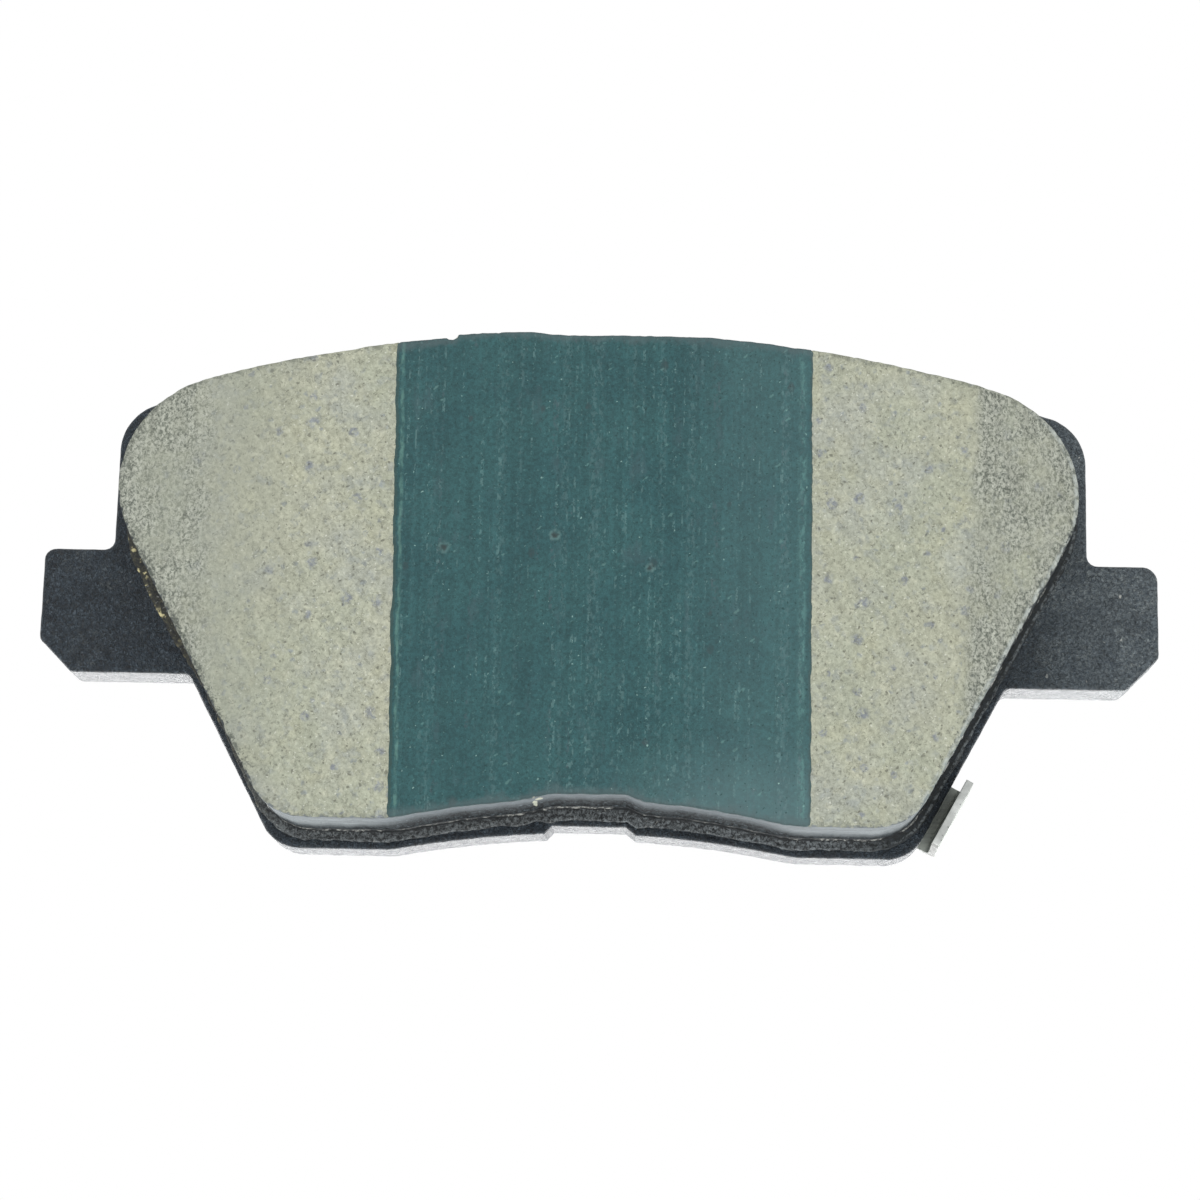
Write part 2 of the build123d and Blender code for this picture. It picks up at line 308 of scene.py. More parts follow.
class Solid:
    """Closed shell made of walls between rings and of triangulated caps."""

    def __init__(self):
        self.v, self.f, self.edge, self.part = [], [], [], []
        self.count = 0

    def add(self, pts, edge, part):
        first = self.count
        self.v.append(np.asarray(pts, float))
        self.edge.append(np.broadcast_to(edge, len(pts)).astype(float))
        self.part.append(np.full(len(pts), part))
        self.count += len(pts)
        return first

    def wall(self, rings, edges=None):
        """Joins rings of equal length from the back to the front, and returns
        the first point and the ring itself for each. edges holds each ring's
        distance from the face's edge, negative down the wall."""
        starts = [self.add(r, e, WALL) for r, e in zip(rings, edges or [0.0] * len(rings))]
        n = len(rings[0])
        for a, b in zip(starts[:-1], starts[1:]):
            for k in range(n):
                m = (k + 1) % n
                self.f.append((a + k, a + m, b + m, b + k))
        return list(zip(starts, rings))

    def cap(self, ends, height, grid, part, coarse=None):
        """Closes the shell between the ends of walls, at its front or back.
        height(xz) gives Y, and grid is the step and margin of its points."""
        pts, tris, edge = fill([r[:, [0, 2]] for _, r in ends], *grid, coarse)
        index = [v for start, ring in ends for v in range(start, start + len(ring))]
        first = len(index)
        extra = pts[first:]
        place = self.add(at(extra, height(extra)), edge[first:], part)
        index += range(place, place + len(extra))
        tris = np.array(index)[tris]
        if part == BACK:
            tris = tris[:, ::-1]
        self.f += [tuple(t) for t in tris.tolist()]

    def arrays(self):
        return np.vstack(self.v), np.concatenate(self.edge), np.concatenate(self.part)


def link(name, data):
    """New object in the scene."""
    obj = bpy.data.objects.new(name, data)
    scene.collection.objects.link(obj)
    return obj


def piece(name, mesh, sharp):
    """Object for a mesh, riding on the pad's one body, with its sharp edges."""
    mesh.set_sharp_from_angle(angle=math.radians(sharp))
    obj = link(name, mesh)
    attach(obj, "root")
    return obj


def make(name, pts, faces, material, attributes=None):
    """Shaded mesh object from millimetre points and its per-point attributes."""
    mesh = bpy.data.meshes.new(name)
    mesh.from_pydata((np.asarray(pts) / MM).tolist(), [], faces)
    for key, values in (attributes or {}).items():
        layer = mesh.attributes.new(key, "FLOAT", "POINT")
        layer.data.foreach_set("value", np.asarray(values, np.float32))
    mesh.materials.append(material)
    mesh.polygons.foreach_set("use_smooth", np.ones(len(mesh.polygons), bool))
    mesh.validate()
    mesh.update()
    return piece(name, mesh, 35)


def level(y):
    """Height function of a flat cap."""
    return lambda xz: np.full(len(xz), y)


# ---- materials
def srgb(text):
    """Linear colour from a hexadecimal sRGB value."""
    out = []
    for k in (0, 2, 4):
        c = int(text[k : k + 2], 16) / 255
        out.append(c / 12.92 if c <= 0.04045 else ((c + 0.055) / 1.055) ** 2.4)
    return (*out, 1.0)


class Look:
    """A node material whose coordinates are millimetres in the row frame.

    Values may be numbers, sockets, or colours as hexadecimal sRGB text.
    """

    def __init__(self, name, **constants):
        self.mat = bpy.data.materials.new(name)
        self.mat.use_nodes = True
        self.tree = self.mat.node_tree
        self.tree.nodes.clear()
        self.bsdf = self.node("BsdfPrincipled")
        out = self.node("OutputMaterial")
        self.tree.links.new(self.bsdf.outputs["BSDF"], out.inputs["Surface"])
        for key, value in constants.items():
            self.bsdf.inputs[key.replace("_", " ")].default_value = value
        where = self.node("TexCoord").outputs["Object"]
        self.pos = self.vector("MULTIPLY", where, (MM, MM, MM))
        self.straight = self.pos

    def put(self, socket, value):
        if isinstance(value, bpy.types.NodeSocket):
            self.tree.links.new(value, socket)
        elif isinstance(value, str):
            socket.default_value = srgb(value)
        else:
            socket.default_value = value

    def node(self, kind, inputs=None, **settings):
        """New shader node with its settings and its named or numbered inputs."""
        n = self.tree.nodes.new("ShaderNode" + kind)
        for key, value in settings.items():
            setattr(n, key, value)
        for key, value in (inputs or {}).items():
            self.put(n.inputs[key], value)
        return n

    def math(self, op, a, b=0.0):
        return self.node("Math", {0: a, 1: b}, operation=op).outputs[0]

    def fold(self, op, first, *others):
        """Result of a math operation over two or more values, in order."""
        for value in others:
            first = self.math(op, first, value)
        return first

    def times(self, *values):
        return self.fold("MULTIPLY", *values)

    def plus(self, *values):
        return self.fold("ADD", *values)

    def most(self, *values):
        return self.fold("MAXIMUM", *values)

    def vector(self, op, a, b):
        return self.node("VectorMath", {0: a, 1: b}, operation=op).outputs[0]

    def bend(self, scale, amount):
        """Wobbles the coordinates that later textures read."""
        n = self.node("TexNoise", {"Vector": self.straight, "Scale": scale, "Detail": 2.0})
        off = self.vector("SUBTRACT", n.outputs["Color"], (0.5, 0.5, 0.5))
        off = self.vector("MULTIPLY", off, (amount, amount, amount))
        self.pos = self.vector("ADD", self.straight, off)

    def place(self, stretch, shift, turn=0.0):
        """Coordinates turned about Y, stretched along each axis and shifted."""
        p = self.pos
        if turn:
            inputs = {"Vector": p, "Angle": math.radians(turn)}
            p = self.node("VectorRotate", inputs, rotation_type="Y_AXIS").outputs[0]
        if stretch != (1, 1, 1):
            p = self.vector("MULTIPLY", p, stretch)
        if shift:
            p = self.vector("ADD", p, (shift, shift * 1.7, -shift * 0.6))
        return p

    def noise(self, scale, detail=2.0, rough=0.5, stretch=(1, 1, 1), shift=0.0, turn=0.0):
        where = self.place(stretch, shift, turn)
        inputs = {"Vector": where, "Scale": scale, "Detail": detail, "Roughness": rough}
        return self.node("TexNoise", inputs).outputs["Fac"]

    def slant(self, p):
        """Two coordinates across the pad's faces, carried obliquely down its sides."""
        x, y, z = self.node("SeparateXYZ", {0: p}).outputs
        across = self.plus(x, self.times(y, 0.8))
        up = self.plus(z, self.times(y, 0.6))
        return self.node("CombineXYZ", {0: across, 1: up}).outputs[0]

    def dots(self, scale, radius, share, stretch=(1, 1, 1), shift=0.0, turn=0.0):
        """Mask of spots of varied size on a share of scattered centres."""
        inputs = {"Vector": self.slant(self.place(stretch, shift, turn)), "Scale": scale}
        n = self.node("TexVoronoi", inputs, voronoi_dimensions="2D")
        pick, size, _ = self.node("SeparateColor", {0: n.outputs["Color"]}).outputs
        near = self.math("DIVIDE", n.outputs["Distance"], self.ramp(size, 0.0, 1.0, 0.45, 1.0))
        spot = self.ramp(near, radius, radius * 0.4)
        return self.times(spot, self.ramp(pick, 1 - share, 1 - share * 0.8))

    def ramp(self, x, lo, hi, a=0.0, b=1.0):
        """Smooth step from a at lo to b at hi."""
        if lo > hi:
            lo, hi, a, b = hi, lo, b, a
        inputs = {"Value": x, "From Min": lo, "From Max": hi, "To Min": a, "To Max": b}
        return self.node("MapRange", inputs, interpolation_type="SMOOTHSTEP").outputs["Result"]

    def spot(self, centre, reach):
        """Mask of one spot at a place, with its reach along each axis."""
        off = self.vector("SUBTRACT", self.pos, centre)
        off = self.vector("DIVIDE", off, reach)
        far = self.node("VectorMath", {0: off}, operation="LENGTH").outputs["Value"]
        return self.ramp(far, 1.0, 0.75)

    def lines(self, value, width):
        """Thin curving lines where a noise value crosses its middle."""
        off = self.math("ABSOLUTE", self.math("SUBTRACT", value, 0.5))
        return self.ramp(off, width, 0.0)

    def mix(self, amount, a, b, blend="MIX"):
        inputs = {0: amount, 6: a, 7: b}
        return self.node("Mix", inputs, data_type="RGBA", blend_type=blend).outputs[2]

    def over(self, colour, tint, *masks):
        """Colour with a tint over it, as strong as the product of the masks."""
        return self.mix(self.times(*masks), colour, tint)

    def scaled(self, colour, value):
        """Colour times a value socket."""
        return self.mix(1.0, colour, value, "MULTIPLY")

    def attribute(self, name):
        return self.node("Attribute", attribute_name=name).outputs["Fac"]

    def axis(self, k):
        return self.node("SeparateXYZ", {0: self.straight}).outputs[k]

    def bump(self, height, strength, depth):
        """Bump of the given depth in metres."""
        n = self.node("Bump", {"Strength": strength, "Distance": depth, "Height": height})
        self.tree.links.new(n.outputs["Normal"], self.bsdf.inputs["Normal"])

    def finish(self, colour, roughness):
        self.put(self.bsdf.inputs["Base Color"], colour)
        self.put(self.bsdf.inputs["Roughness"], roughness)
        return self.mat


def friction_look():
    """Mineral compound, ground on the face and sprayed black down the sides."""
    k = Look("friction_compound")
    k.bend(1.6, 0.55)
    edge, chamfer, chip = (k.attribute(a) for a in ("edge", "chamfer", "chip"))

    # Ground face: clouds, dark and pale grains, turning marks, specks and painted glints.
    face = k.mix(k.ramp(k.noise(0.09, 2), 0.35, 0.65), "a0a290", "9ca08f")
    face = k.over(face, "9a9e96", k.ramp(k.noise(0.16, 2, shift=31), 0.45, 0.7), 0.6)
    face = k.over(face, "a8a88e", k.ramp(k.noise(0.3, 2, shift=7), 0.52, 0.74), 0.35)
    face = k.over(face, "868c8b", k.ramp(k.noise(0.75, 3, 0.6, shift=3), 0.52, 0.7), 0.5)
    face = k.over(face, "b1b29f", k.ramp(k.noise(1.1, 3, 0.6, shift=5), 0.54, 0.68), 0.45)
    soft = k.ramp(k.noise(2, 3, 0.65, shift=19), 0.34, 0.6)
    face = k.over(face, "767c86", k.dots(0.27, 0.22, 0.5, shift=13), soft, 0.8)
    face = k.over(face, "7c8386", k.dots(0.6, 0.24, 0.4, shift=27), soft, 0.7)
    olive = k.ramp(k.noise(1.5, 3, 0.7, (1, 1, 0.6), 33), 0.56, 0.66)
    face = k.over(face, "77786a", olive, 0.3)
    grain = k.noise(2.7, 4, 0.75)
    face = k.scaled(face, k.ramp(grain, 0.28, 0.74, 0.77, 1.2))
    sweep = k.noise(2, 2, 0.5, (1, 1, 0.07), 11, 34)
    face = k.scaled(face, k.ramp(sweep, 0.34, 0.66, 0.94, 1.06))
    worms = k.lines(k.noise(1.3, 2, 0.5, shift=39), 0.03)
    worms = k.times(worms, k.ramp(k.noise(1.8, 2, shift=40), 0.5, 0.62))
    fine = k.ramp(k.noise(2.4, 3, 0.75, shift=37), 0.59, 0.67)
    speck = k.most(k.times(fine, 0.5), k.times(k.dots(1.3, 0.22, 0.3, shift=9), 0.7))
    speck = k.most(speck, k.times(k.dots(0.75, 0.15, 0.4, shift=29), 0.9))
    speck = k.most(speck, k.times(worms, 0.5))
    face = k.over(face, "54554b", speck, 0.75)
    # Pale dots painted as glints: a painted highlight on the ground face.
    face = k.over(face, "d0d2c6", k.dots(1.9, 0.2, 0.25, shift=15), 0.55)

    # End chamfers, coarser and mottled, the face's broken edge, and a painted highlight along its rim
    # at the upper right.
    high = k.ramp(k.axis(2), -4, 14)
    face = k.over(face, "868a80", k.ramp(k.axis(0), -27, -38), 0.42)
    ground = k.noise(3.2, 3, 0.8, (1, 1, 0.75), 17)
    marks = k.noise(3, 2, 0.5, (1, 1, 0.06), 43)
    mottled = k.mix(k.ramp(ground, 0.36, 0.6), "545a52", "a3a69b")
    mottled = k.scaled(mottled, k.ramp(marks, 0.35, 0.65, 0.88, 1.12))
    mottled = k.over(mottled, "3b4038", k.dots(2.2, 0.26, 0.5, shift=23), 0.7)
    mottled = k.over(mottled, "cfd1c4", k.dots(2.1, 0.2, 0.35, shift=25), 0.5)
    rightward = k.ramp(k.axis(0), -20, 20)
    near_line = k.times(k.ramp(k.attribute("past"), 3, 0.8, 0, 0.16), high, rightward)
    near_edge = k.ramp(edge, 2.2, 0.2, 0, 0.1)
    uneven = k.plus(k.noise(0.3, 3, 0.6, shift=13), near_line, near_edge)
    uneven = k.plus(uneven, k.times(high, 0.06))
    sooty = k.times(k.ramp(k.axis(0), 30, 36), k.ramp(k.axis(2), 0, -6))
    uneven = k.plus(uneven, k.times(sooty, 0.2))
    uneven = k.times(k.ramp(uneven, 0.34, 0.7, 0.3, 0.95), k.ramp(rightward, 0, 1, 0.92, 1))
    face = k.over(face, mottled, chamfer, uneven)
    broken = k.plus(k.ramp(edge, 1.1, 0, 0, 0.24), k.noise(1.6, 4, 0.8, shift=47))
    broken = k.times(k.ramp(broken, 0.68, 0.8, 0, 0.75), k.ramp(high, 0.7, 1, 1, 0.6))
    broken = k.times(broken, k.ramp(k.axis(2), -21, -18, 0.45, 1))
    face = k.over(face, "474c47", broken)
    # Painted highlight: a pale line along the face's rim near the upper right corner.
    rim = k.times(k.ramp(edge, 0.38, 0.05), k.ramp(k.noise(1.2, 2), 0.35, 0.6, 0.1, 0.65))
    rim = k.times(rim, k.ramp(k.axis(0), 28, 35), k.ramp(k.axis(2), 19, 15))
    face = k.over(face, "b4bbb7", rim)

    # Sprayed sides: black, with pale dust and a painted sheen, strongest on the down-facing walls
    # that face the light from below, and dust towards the ends.
    coarse = k.noise(2.2, 4, 0.8, (1, 0.3, 1), 2)
    paint = k.mix(k.ramp(coarse, 0.42, 0.62), "111416", "2f3538")
    below = k.attribute("below")
    ends = k.most(k.ramp(k.axis(0), -17, -25), k.ramp(k.axis(0), 15, 24))
    depth = k.plus(edge, k.times(ends, 3.2))
    worn = k.ramp(depth, -7.4, -2, -0.25, 0.25)
    dust_and_sheen = k.ramp(k.plus(k.noise(1.7, 4, 0.85, (1, 0.25, 1), 4), worn), 0.3, 0.7)
    light = k.mix(ends, "62696d", "797f81")
    drag = k.noise(1.6, 3, 0.7, (0.15, 1.5, 1), 45)
    light = k.scaled(light, k.ramp(drag, 0.35, 0.65, 0.8, 1.16))
    light = k.mix(k.ramp(depth, -5.8, -0.2), "2d3336", light)
    # Painted sheen together with dust: the pale mix is far stronger on walls that face down, towards
    # the light below.
    paint = k.over(paint, light, dust_and_sheen, k.ramp(below, 0, 1, 0.2, 0.9))
    # Pale grit only on down-facing walls, partly a painted sheen from the light below.
    grit_and_sheen = k.times(k.ramp(k.noise(2.6, 3, 0.8, (1, 0.4, 1), 49), 0.58, 0.68), below, 0.5)
    paint = k.over(paint, "69737a", grit_and_sheen)
    flank = k.times(k.ramp(k.axis(0), 28, 34), k.ramp(k.axis(2), -6, -12))
    ragged = k.plus(edge, k.ramp(coarse, 0.35, 0.65, -0.8, 0.8))
    flank = k.times(flank, k.ramp(ragged, -3.4, -1, 0, 0.75))
    paint = k.over(paint, "8f9896", flank, k.ramp(below, 0.9, 0.3))

    # Where the face shows: past the sprayed edge, in bites and in two splinters.
    bare = k.plus(edge, k.ramp(k.noise(1.6, 3), 0.3, 0.7, -0.06, 0.08))
    bare = k.plus(bare, k.times(k.ramp(high, 0.7, 1), 0.16))
    splinter = k.spot((-5.6, -13, -23.2), (0.26, 2.5, 1.6))
    splinter = k.most(splinter, k.spot((-5.1, -15.6, -23.2), (0.45, 0.8, 1.6)))
    face_mask = k.most(k.ramp(bare, -0.07, 0), chip, splinter)
    colour = k.mix(face_mask, paint, face)
    height = k.plus(k.times(grain, 0.7), k.times(k.noise(7, 2, 0.6), 0.4))
    height = k.plus(height, k.times(k.math("SUBTRACT", 1, speck), 0.6))
    height = k.plus(height, k.times(ground, chamfer, 1.2))
    k.bump(height, 0.85, 0.00008)
    k.put(k.bsdf.inputs["Specular IOR Level"], k.ramp(face_mask, 0, 1, 0.05, 0.3))
    return k.finish(colour, k.ramp(face_mask, 0, 1, 0.8, 0.9))


def stripe_look():
    """Teal coating brushed on in one pass, with its drag lines and nibs."""
    k = Look("stripe_paint")
    left, right, edge = (k.attribute(a) for a in ("left", "right", "edge"))

    # Drag lines, pale columns with beads, plum patches and a paler right side.
    base = k.mix(k.ramp(k.noise(0.2, 2), 0.35, 0.65), "294b4e", "2d5052")
    drag = k.noise(1.3, 3, 0.6, (1, 1, 0.03))
    base = k.scaled(base, k.ramp(drag, 0.3, 0.72, 0.92, 1.08))
    grain = k.noise(3, 4, 0.8, shift=4)
    base = k.scaled(base, k.ramp(grain, 0.3, 0.72, 0.72, 1.3))
    column = k.ramp(k.noise(0.62, 1, 0.4, (1, 1, 0.004), 51), 0.53, 0.62)
    broken = k.ramp(k.noise(2.2, 3, 0.75, (1, 1, 0.6), 53), 0.48, 0.6)
    base = k.over(base, "587677", column, broken, 0.3)
    thin = k.ramp(k.noise(2.2, 1, 0.4, (1, 1, 0.004), 57), 0.55, 0.62)
    dashes = k.ramp(k.noise(1.9, 3, 0.75, (1, 1, 0.7), 59), 0.52, 0.62)
    patchy = k.ramp(k.noise(0.22, 2, 0.5, shift=60), 0.4, 0.6, 0.25, 1)
    beads = k.times(thin, dashes, patchy)
    base = k.over(base, "648584", beads, 0.42)
    plum = k.ramp(k.noise(0.9, 1, 0.4, (1, 1, 0.006), 63), 0.58, 0.66)
    plum = k.times(plum, k.ramp(k.noise(0.5, 3, 0.7, (1, 1, 0.5), 65), 0.5, 0.64))
    base = k.over(base, "4b545a", plum, broken, 0.4)
    base = k.over(base, "6d8688", k.ramp(k.axis(0), 6, 16, 0, 0.1))
    low = k.times(k.ramp(k.axis(2), -15, -24), k.ramp(k.axis(0), -4, 14, 0, 0.24))
    base = k.over(base, "6d8688", low)
    grey = k.times(k.ramp(k.noise(0.5, 3, 0.6, (1, 1, 0.35), 9), 0.56, 0.72), 0.35)
    base = k.over(base, "41555a", grey)

    # Stains, nibs, strokes and flecks.
    k.bend(2.6, 0.4)
    stains = k.times(k.dots(0.16, 0.09, 0.45, (1, 1, 0.7), 61), k.ramp(grain, 0.4, 0.6, 0.2, 0.7))
    base = k.over(base, "343d3f", stains)
    small = k.times(k.dots(0.6, 0.05, 0.3, (1, 1, 0.6), 6), 0.8)
    nibs = k.most(k.dots(0.3, 0.035, 0.35, shift=2), small)
    base = k.over(base, "93b7b0", nibs, 0.6)
    base = k.over(base, "6d958f", k.dots(0.5, 0.1, 0.3, (0.5, 1, 1.2), 8, 35), 0.3)
    dark = k.dots(1.7, 0.2, 0.45, shift=14)
    base = k.over(base, "15302f", dark, 0.55)
    light = k.dots(1.4, 0.17, 0.3, shift=16)
    base = k.over(base, "66908c", light, 0.22)

    # Ridges along both sides, the hem at the block's edge, and the craters with a painted highlight
    # on their rims.
    wobble = k.ramp(k.noise(1.1, 3, shift=21), 0.3, 0.7, -0.05, 0.05)
    near_left, near_right = k.plus(left, wobble), k.plus(right, wobble)
    lumps = k.ramp(k.noise(1.3, 3, 0.7, (1, 1, 0.3), 3), 0.4, 0.62, 0.1, 1)
    ridge = k.times(k.ramp(near_left, 0.42, 0.62), k.ramp(near_left, 1, 0.72))
    base = k.over(base, "6f9a8e", ridge, lumps, 0.36)
    ridge = k.times(k.ramp(near_right, 0.35, 0.8), k.ramp(near_right, 1.7, 0.9))
    rubbed = k.ramp(k.noise(1.8, 3, 0.75, (1, 1, 0.4), 23), 0.46, 0.62, 0.05, 0.42)
    base = k.over(base, "5f8a86", ridge, rubbed)
    base = k.over(base, "33443f", k.ramp(near_left, 0.4, 0.18), 0.6)
    base = k.over(base, "3e4a48", k.ramp(near_right, 0.3, 0.1), 0.5)
    wavy = k.ramp(k.noise(0.5, 4, 0.65, shift=71), 0.3, 0.7, -0.5, 0.4)
    hem = k.ramp(k.plus(edge, wavy), 1.1, 0)
    base = k.over(base, "4f5c5e", hem, 0.5)
    rolled = k.ramp(k.noise(1.6, 4, 0.8, shift=73), 0.38, 0.62, 0.35, 0.95)
    base = k.over(base, "414a4c", k.ramp(edge, 0.05, -0.16), rolled)
    base = k.over(base, "333a39", k.attribute("crater"), 0.75)
    # Painted highlight on the craters' rims.
    base = k.over(base, "8fb0aa", k.attribute("lip"), 0.22)

    height = k.plus(k.times(grain, 0.6), k.times(drag, 0.5))
    height = k.plus(height, k.times(column, broken, 0.3))
    height = k.plus(height, k.times(nibs, 0.6))
    k.bump(height, 0.7, 0.00006)
    k.put(k.bsdf.inputs["Specular IOR Level"], k.ramp(edge, -0.12, 0.05, 0.05, 0.22))
    return k.finish(base, k.ramp(grain, 0.3, 0.7, 0.5, 0.64))


def coat_look():
    """Black powder coat with orange peel, painted shade and highlights on the peel, dust and handling
    marks.
    """
    k = Look("powder_coat", Specular_IOR_Level=0.24)
    k.bend(1.8, 0.5)
    scuffed = k.attribute("scuff")
    peel = k.noise(2.1, 3, 0.6)
    wrinkle = k.lines(k.noise(1.9, 2, 0.55, shift=5), 0.06)
    wrinkle = k.most(wrinkle, k.times(k.lines(k.noise(2.7, 1, 0.5, shift=7), 0.06), 0.8))
    fine = k.noise(2.9, 3, 0.75, shift=15)
    base = k.mix(k.ramp(k.noise(0.25, 3), 0.35, 0.65), "151a20", "1c232a")
    # Painted shade and highlights on the orange peel: the fine noise that also raises the bump
    # darkens and lightens the colour.
    base = k.scaled(base, k.ramp(fine, 0.32, 0.68, 0.1, 2.1))
    # Pale lines on the wrinkles: painted highlights on the peel's ridges.
    peel_highlights = k.times(wrinkle, k.ramp(k.noise(0.9, 3, 0.6, shift=25), 0.35, 0.65, 0.4, 1))
    base = k.over(base, "4b565f", peel_highlights, 0.75)
    # Pale dots painted as glints: painted highlights on the coat.
    base = k.over(base, "616d77", k.dots(1.6, 0.2, 0.35, shift=8), 0.42)
    haze = k.ramp(k.noise(0.3, 4, 0.7, shift=33), 0.3, 0.7, 0.26, 0.44)
    haze = k.times(haze, k.ramp(k.noise(3, 3, 0.75, shift=34), 0.38, 0.62, 0.4, 1.45))
    base = k.over(base, "7a8488", haze, scuffed)
    rubbed = k.ramp(k.noise(0.26, 2, 0.5, shift=35), 0.5, 0.64)
    rubbed = k.times(rubbed, k.ramp(k.noise(1.7, 4, 0.85, (1, 1, 1.3), 12, 25), 0.5, 0.64))
    rubbed = k.times(rubbed, k.ramp(scuffed, 0.2, 1, 0.3, 1))
    base = k.over(base, "9ba3a2", rubbed, 0.42)
    nicks = k.times(k.dots(0.5, 0.08, 0.3, (1, 1, 0.7), 41), k.ramp(scuffed, 0.1, 1, 0.1, 1))
    base = k.over(base, "b7b9b4", nicks, 0.7)
    height = k.plus(k.times(peel, 0.8), k.times(wrinkle, 0.55))
    height = k.plus(height, k.times(fine, 0.5))
    k.bump(height, 1, 0.0002)
    rough = k.plus(k.ramp(peel, 0.3, 0.7, 0.36, 0.5), k.times(rubbed, 0.3))
    ears = k.most(k.ramp(k.axis(0), -37, -39), k.ramp(k.axis(0), 40, 42))
    foot = k.times(ears, k.ramp(k.axis(2), -8.9, -9))
    return k.finish(base, k.math("SUBTRACT", rough, k.times(foot, 0.2)))


def underlayer_look():
    """Rough squeezed-out compound under black overspray, with mica flecks."""
    k = Look("underlayer_compound", Specular_IOR_Level=0.4)
    k.bend(2, 0.6)
    wall, bead = k.attribute("wall"), k.attribute("bead")
    lumps = k.noise(2.6, 4, 0.8)
    leftward = k.ramp(k.axis(0), -30, -40)
    rightward = k.ramp(k.axis(0), 24, 32)
    away = k.attribute("away")
    crust = k.mix(k.ramp(k.axis(0), -8, 6), "73797b", "80878a")
    crust = k.over(crust, "48483c", leftward)
    crust = k.over(crust, "2b3136", rightward)
    base = k.mix(k.ramp(lumps, 0.4, 0.66), k.mix(rightward, "181b1d", "161b1a"), crust)
    line = k.times(k.ramp(away, 0.5, 0.62), k.ramp(away, 0.9, 0.74))
    line = k.times(line, k.ramp(k.noise(2.2, 3, 0.7, shift=21), 0.42, 0.6))
    base = k.over(base, "737a7c", line, rightward, 0.6)
    smooth_paint = k.mix(k.ramp(lumps, 0.35, 0.7), "121517", "262b2e")
    base = k.over(base, smooth_paint, wall)
    outer = k.ramp(away, 0.35, 0.6)
    flecks = k.most(k.dots(1, 0.4, 0.75), k.times(k.dots(1.7, 0.3, 0.5, shift=6), 0.7))
    clumps = k.ramp(k.noise(0.6, 2, shift=24), 0.42, 0.56)
    clumps = k.times(clumps, k.ramp(k.axis(2), -6.5, -3, 0.15, 1))
    flecks = k.times(flecks, clumps, outer, leftward)
    base = k.over(base, "cdc496", flecks, 0.95)
    crumbs = k.times(k.dots(1.9, 0.24, 0.35, shift=15), k.ramp(rightward, 0, 1, 0.5, 0.1))
    base = k.over(base, "929592", crumbs)
    dotted = k.ramp(k.noise(3, 1, 0.5, shift=26), 0.5, 0.57, 0.05, 1)
    base = k.over(base, "9fa19b", bead, 0.85, dotted)
    k.bump(lumps, 0.9, 0.00012)
    return k.finish(base, k.ramp(lumps, 0.3, 0.7, 0.5, 0.8))


def steel_look(name, dark, light, rough, stretch, metallic=1):
    """Sheet steel with rolling lines and faint blotches."""
    k = Look(name, Metallic=metallic)
    lines = k.noise(1, 3, 0.6, stretch)
    base = k.mix(k.ramp(lines, 0.3, 0.7), dark, light)
    base = k.over(base, dark, k.ramp(k.noise(0.8, 3, shift=3), 0.5, 0.7), 0.45)
    base = k.over(base, "1d1d1c", k.dots(1.6, 0.22, 0.3, shift=7), 0.4)
    k.bump(lines, 0.5, 0.00003)
    return k.finish(base, k.ramp(k.noise(1.5, 3, shift=9), 0.3, 0.7, rough - 0.08, rough + 0.1))


def rubber_look():
    """Thin rubber coating with a fine stipple and light handling marks."""
    k = Look("shim_rubber", Specular_IOR_Level=0.4)
    stipple = k.noise(5, 3, 0.6)
    base = k.mix(k.ramp(k.noise(0.06, 2), 0.35, 0.65), "1b1c1d", "202224")
    base = k.scaled(base, k.ramp(stipple, 0.3, 0.7, 0.75, 1.3))
    roll = k.noise(1.6, 3, 0.5, (0.04, 1, 1), 2)
    base = k.scaled(base, k.ramp(roll, 0.3, 0.7, 0.92, 1.08))
    k.bend(0.4, 3)
    rub = k.ramp(k.noise(0.5, 4, 0.7, (0.25, 1, 1.6), 5, 20), 0.62, 0.78)
    base = k.over(base, "5a5d60", rub, 0.22)
    base = k.over(base, "9a9c9a", k.dots(0.5, 0.07, 0.4, shift=11), 0.5)
    k.bump(k.plus(stipple, k.times(roll, 0.4)), 0.6, 0.00003)
    return k.finish(base, k.plus(k.ramp(stipple, 0.3, 0.7, 0.46, 0.58), k.times(rub, 0.12)))


def resin_look(name, dark, light):
    """Cured adhesive film."""
    k = Look(name, Specular_IOR_Level=0.5)
    blend = k.noise(1.5, 4, 0.6)
    base = k.mix(k.ramp(blend, 0.35, 0.65), dark, light)
    k.bump(blend, 0.5, 0.00003)
    return k.finish(base, k.ramp(blend, 0.3, 0.7, 0.35, 0.55))


friction_mat = friction_look()
stripe_mat = stripe_look()
coat_mat = coat_look()
underlayer_mat = underlayer_look()
rubber_mat = rubber_look()
core_mat = steel_look("shim_steel", "7d7f80", "a3a5a6", 0.4, (3, 3, 0.2))
strip_mat = steel_look("indicator_strip", "8f958f", "a9afa6", 0.5, (0.3, 3, 3), 0.2)
cut_mat = steel_look("indicator_cut_side", "5d5f5c", "6d6f6b", 0.6, (0.4, 3, 0.4), 0)
sheared_mat = steel_look("indicator_sheared_edge", "b4b7b4", "dcdfdc", 0.42, (0.4, 3, 0.4))
rivet_mat = steel_look("rivet_steel", "85878a", "b4b6b8", 0.34, (2, 2, 2))
resin_mat = resin_look("bonding_resin", "14130f", "251f17")
glue_mat = resin_look("shim_glue", "6e6650", "8a8168")


